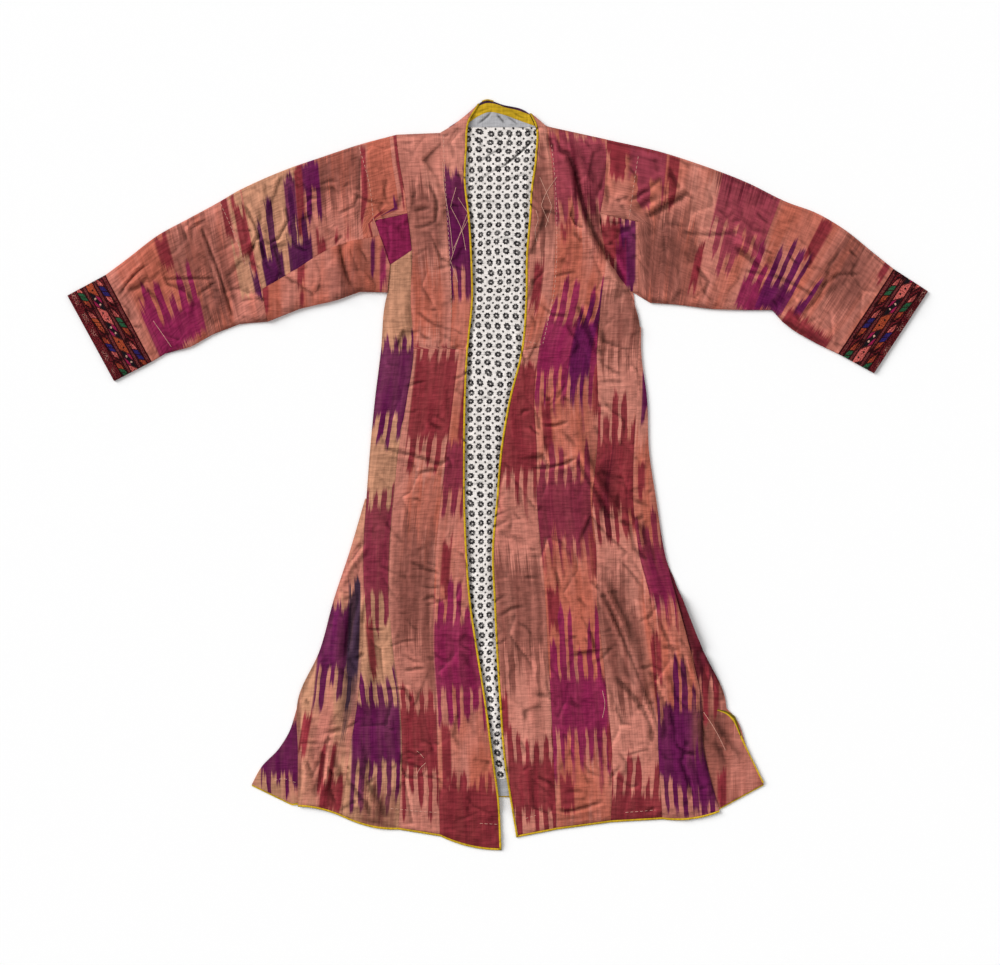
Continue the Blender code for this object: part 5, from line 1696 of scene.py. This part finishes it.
# The yellow strip shows again where this gore turns over, widest at its upper end.
flapOuter = ((362, -386), (380, -390.5), (391, -398), (397, -416), (403, -433),
             (412.5, -454), (425.5, -481), (438.5, -507))
flapInner = ((361.5, -388), (377, -395), (387, -405), (394, -419), (400.5, -435),
             (410.5, -455.5), (423.5, -482), (436, -508))
stripPlan = ladder(flapInner, flapOuter, backFit["stripCell"], (0, 0.42, 0.6, 0.8, 1))
levelAt = uvFinder(flapPlan, flapTop)
stripTop = np.array([levelAt(*spot) for spot in stripPlan.reshape(-1, 2)])
stripTop = stripTop.reshape(stripPlan.shape[:2])
turnRow = int((stripPlan[:, 0, 1] > flap["turnAt"]).sum())
for name, rows, columns, lift, material in (
        ("flapBinding", slice(turnRow, None), slice(None), 0.9, yellowCloth),
        ("flapSlit", slice(turnRow + 1), slice(1, None), 0.6, shadedYellowCloth),
        ("flapEdge", slice(turnRow), slice(2), 1.0, yellowCloth)):
    layFlat(name, "back_binding", "yellow_binding", stripPlan[rows, columns],
            stripTop[rows, columns] + lift, flap["stripWall"], material)

# the binding along the back hem
hemX = np.linspace(backHem[0][0], backHem[-1][0], backFit["hemPoints"])
hemY = heightOn(backHem, hemX)
hemLines = [np.stack([hemX, hemY + up], axis=-1)
            for up in np.linspace(backFit["hemShown"], 0, backFit["hemLines"])]
layFlat("backBinding", "back_binding", "yellow_binding", np.stack(hemLines, axis=1)[::-1],
        backFit["hemTop"], backFit["hemWall"], yellowCloth)

liningTop = cloth["wall"] + cloth["air"] + cloth["liningWall"]
lining = {"cell": 3.3, "bareFrom": 2, "bareRun": 8, "lift": 1.3, "creaseWidth": 2.1}
facing = {"depth": 28, "cell": 5.0, "lift": 0.9, "creaseWidth": 2.3}
deepest = -0.25   # how far below the rest a crease may dip
# Each crease's depth and the points of its line.
liningCreases = (
    (1.9, (62, 556), (36, 531), (2, 504)), (1.7, (24, 576), (46, 571), (66, 558)),
    (1.0, (-45, 563), (-32, 549), (-21, 536)), (1.0, (25, 571), (19, 553), (12, 536)),
    (1.1, (-8, 563), (5, 546), (2, 531)), (1.0, (-34, 512), (-9, 531), (22, 541)),
    (0.7, (-40, 480), (-10, 500), (15, 512)), (0.6, (60, 500), (25, 490), (-5, 470)),
    (0.5, (-48, 440), (-20, 452), (6, 446)), (0.6, (40, 380), (12, 392), (-10, 388)),
    (0.5, (-44, 120), (-20, 128), (-2, 122)), (0.5, (-50, -20), (-30, -12), (-12, -16)),
)


def insideOpening(x, y):
    # how far a spot lies from the nearer front edge, where the two fronts leave the lining bare
    right, left = [np.interp(-y, [-spot[1] for spot in line], [spot[0] for spot in line])
                   for line in (rightEdgeLine, leftEdgeLine)]
    return np.minimum(x - right, left - x)


def creased(plan, dips, width, lift):
    # lifted where nothing lies over it, so that the creases have room to dip
    x, y = plan[..., 0], plan[..., 1]
    dip = sum(creaseRise(x, y, "valley", depth, width, path) for depth, *path in dips)
    return liningTop + np.clip(lift + dip, deepest, None)


liningSides = [[(row[k], row[0]) for row in liningRows] for k in (1, 2)]
liningPlan = ladder(*liningSides, lining["cell"])
inside = insideOpening(liningPlan[..., 0], liningPlan[..., 1])
bare = ramp((inside - lining["bareFrom"]) / lining["bareRun"])
layFlat("backLining", "back_lining", "lining_print", liningPlan,
        creased(liningPlan, liningCreases, lining["creaseWidth"], lining["lift"] * bare),
        cloth["liningWall"], ringLining)
lowY, lowRight, lowLeft = liningRows[-1]
facingY = (lowY - seam, lowY - seam - facing["depth"])
facingSides = [[(x, y) for y in facingY] for x in (lowRight, lowLeft)]
layFlat("backHemFacing", "back_hem_facing", "grey_facing", ladder(*facingSides, facing["cell"]),
        liningTop, cloth["liningWall"], greyCloth)
print("back and lining laid")


collarBack = {
    "node": "collar_back", "ground": ("purple", "rose"), "start": 0.3,
    "blocks": (("block", "slate", 12, 612, 130, 26, 2, 2),),
}
collarLower = [(-81, 573.6), (-38, 573.6), (4, 573.6), (44, 573.6), (84, 573.6)]
collarMiddle = [(-62, 586), (-32, 590), (6, 592), (42, 588), (66, 584)]
collarUpper = [(-28, 615), (-22, 617), (10, 610), (44, 601), (54, 594)]
facingTop = [(-33, 608), (-18, 613), (-6, 612), (12, 606), (33, 601), (52, 594)]
facingMiddle = [(-49, 580), (-31, 592), (-15, 598), (8, 594), (33, 585), (61, 575)]
facingLow = [(-52, 573.4), (-33, 573.4), (-15, 573.4), (8, 573.4), (33, 573.4), (61.5, 573.4)]


def across(lines, parts=10):
    # rows between lines that run from the wearer's right to the left
    curves = [smoothLine(line, [10] * (len(line) - 1)) for line in lines]
    rows = []
    for a, b in zip(curves, curves[1:]):
        rows += [a + (b - a) * k / parts for k in range(parts)]
    return np.stack(rows + [curves[-1]], axis=0)


collarPlan = across([collarUpper, collarMiddle, collarLower])
layDyed("collarBack", collarBack, collarPlan, cloth["wall"])
facingCreases = (
    (1.3, (-8, 606), (-13, 597), (-38, 575)), (1.3, (-5, 597), (3, 589), (13, 577)),
    (1.1, (10, 594), (22, 586), (36, 575)), (0.8, (-36, 596), (-24, 602), (-10, 606)),
    (0.8, (20, 602), (34, 592), (50, 586)),
)
for name, lines, slot, material in (
        ("Yellow", (facingTop, shifted(facingMiddle, 0, half)), "yellow_binding", yellowCloth),
        ("Grey", (shifted(facingMiddle, 0, -half), facingLow), "grey_facing", greyCloth)):
    plan = across(lines)
    layFlat("neckFacing" + name, "neck_facing_" + name.lower(), slot, plan,
            creased(plan, facingCreases, facing["creaseWidth"], facing["lift"]),
            cloth["liningWall"], material)
# a sliver of the yellow strip stands above the collar's highest edge
piping = {"upper": [(-27, 616.8), (-20, 619.4), (-7, 617.6)],
          "lower": [(-26, 615.4), (-20, 617.4), (-8, 615.8)], "parts": 3, "top": 3.0, "wall": 1.0}
layFlat("neckPiping", "neck_facing_yellow", "yellow_binding",
        across([piping["upper"], piping["lower"]], piping["parts"]), piping["top"],
        piping["wall"], yellowCloth)
print("collar laid")


# Mending and quilting threads: long ones laid across each other, and short ones in running lines.
stitching = {"wide": 0.65, "thick": 0.45, "lift": 0.35, "crown": 0.2, "endDip": 0.4,
             "long": 5.0, "apart": 8.0, "spacing": 1.4}
stitchLines = {
    "long": (
        ((-91, 516), (-89, 474), (-81, 426), (-76, 383), (-74, 363)),
        ((-69, 474), (-78, 442), (-60, 404), (-53, 370)),
        ((-66, 457), (-46, 426), (-64, 393), (-73, 373)),
        ((-51, 429), (-64, 393), (-78, 352), (-66, 318)),
        ((69, 490), (79, 467), (89, 442), (78, 408)), ((97, 490), (79, 464), (71, 444), (84, 416)),
        ((62, 438), (66, 421), (61, 402), (64, 384)), ((-134, -454), (-127, -460), (-122, -466)),
        ((-119, -474), (-129, -484), (-135, -497)), ((172, -355), (176, -378), (172, -400)),
        ((339, -391), (351, -409), (362, -428), (374, -453)),
        ((-568, 254), (-552, 231), (-538, 211)),
    ),
    "running": (
        ((43, 221), (71, 215)), ((-90, 560), (-88, 500), (-83, 420), (-78, 330), (-77, 260)),
        ((88, 545), (95, 470), (97, 400), (92, 300), (74, 216)),
        ((-177, -549), (-140, -553), (-101, -556)), ((-30, -574), (0, -576)),
        ((45, -566), (62, -561)), ((210, -556), (259, -552)),
        ((-368, -503), (-355, -500), (-333, -507)), ((-457, 447), (-436, 400), (-416, 347)),
        ((-229, 541), (-212, 480), (-205, 419)), ((231, 525), (224, 480), (216, 424)),
    ),
}
threadLine = plainMaterial("sewing thread", "thread", roughness=0.7, amount=0.4, bump=0.2)


def layStitch(marks, way, line, level):
    # one thread over the cloth, crowned along its middle and tucked in at both ends
    middle = np.stack([np.interp(marks, way, line[:, k]) for k in (0, 1)], axis=-1)
    step = np.gradient(middle, axis=0) + 1e-9
    step /= np.linalg.norm(step, axis=1)[:, None]
    aside = np.stack([-step[:, 1], step[:, 0]], axis=-1)[:, None]
    aside = aside * np.array([-0.5, 0, 0.5])[None, :, None]
    plan = middle[:, None] + aside * stitching["wide"]
    top = np.repeat(np.interp(marks, way, level)[:, None], 3, axis=1)
    top[:, 1] += stitching["crown"]
    top[[0, -1]] -= stitching["endDip"]
    return layCloth("thread", withHeights(plan, top), plan, stitching["thick"], threadLine)


def layStitches():
    for kind, paths in stitchLines.items():
        for path in paths:
            line = evenSmooth(path, stitching["spacing"])
            way = runAlong(line)
            level = frontTop(line[:, 0], line[:, 1]) + stitching["lift"]
            starts, length = [0.0], way[-1]
            if kind == "running":
                starts, length = np.arange(0, way[-1], stitching["apart"]), stitching["long"]
            count = max(3, round(length / stitching["spacing"]))
            for start in starts:
                marks = np.linspace(start, min(start + length, way[-1]), count)
                yield layStitch(marks, way, line, level)


threads = list(layStitches())
bpy.ops.object.select_all(action="DESELECT")
for thread in threads:
    thread.select_set(True)
bpy.context.view_layer.objects.active = threads[0]
bpy.ops.object.join()
stitches = bpy.context.object
stitches.name = "stitches"
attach(stitches, "root")
print("stitches laid")


studio = {
    "floor": 0.97, "floorRoughness": 0.9, "floorSize": 60, "floorGap": 0.0004,
    "key": 3.2, "keySoftness": 38, "fill": 0.4, "fillSoftness": 60, "world": 0.38,
}
bpy.ops.object.select_all(action="DESELECT")
bpy.ops.mesh.primitive_plane_add(size=studio["floorSize"], location=(0, 0, -studio["floorGap"]))
floor = bpy.context.object
floor.name = "floor"
floorLook = bpy.data.materials.new("plain floor")
floorLook.use_nodes = True
floorShader = floorLook.node_tree.nodes["Principled BSDF"]
floorShader.inputs["Base Color"].default_value = (studio["floor"],) * 3 + (1,)
floorShader.inputs["Roughness"].default_value = studio["floorRoughness"]
floor.data.materials.append(floorLook)


def addLight(name, place, strength, softness):
    bpy.ops.object.light_add(type="SUN", location=place)
    light = bpy.context.object
    light.name = name
    light.data.energy, light.data.angle = strength, math.radians(softness)
    light.rotation_euler = (-Vector(place)).to_track_quat("-Z", "Y").to_euler()


addLight("key light", (-2.8, 1.8, 2.1), studio["key"], studio["keySoftness"])
addLight("fill light", (2.4, 0.4, 3.2), studio["fill"], studio["fillSoftness"])
world = bpy.data.worlds.new("studio")
world.use_nodes = True
background = world.node_tree.nodes["Background"]
background.inputs["Color"].default_value = (1, 1, 1, 1)
background.inputs["Strength"].default_value = studio["world"]
scene = bpy.context.scene
scene.world = world
scene.view_settings.view_transform = "Standard"

shot = {"centre": (0.0033, -0.0124), "wide": 1.65, "lens": 85.0, "sensor": 36.0}
bpy.ops.object.camera_add(location=(*shot["centre"], shot["wide"] * shot["lens"] / shot["sensor"]),
                          rotation=(0, 0, 0))
camera = bpy.context.object
camera.data.lens, camera.data.sensor_width = shot["lens"], shot["sensor"]
scene.camera = camera
print("studio ready")
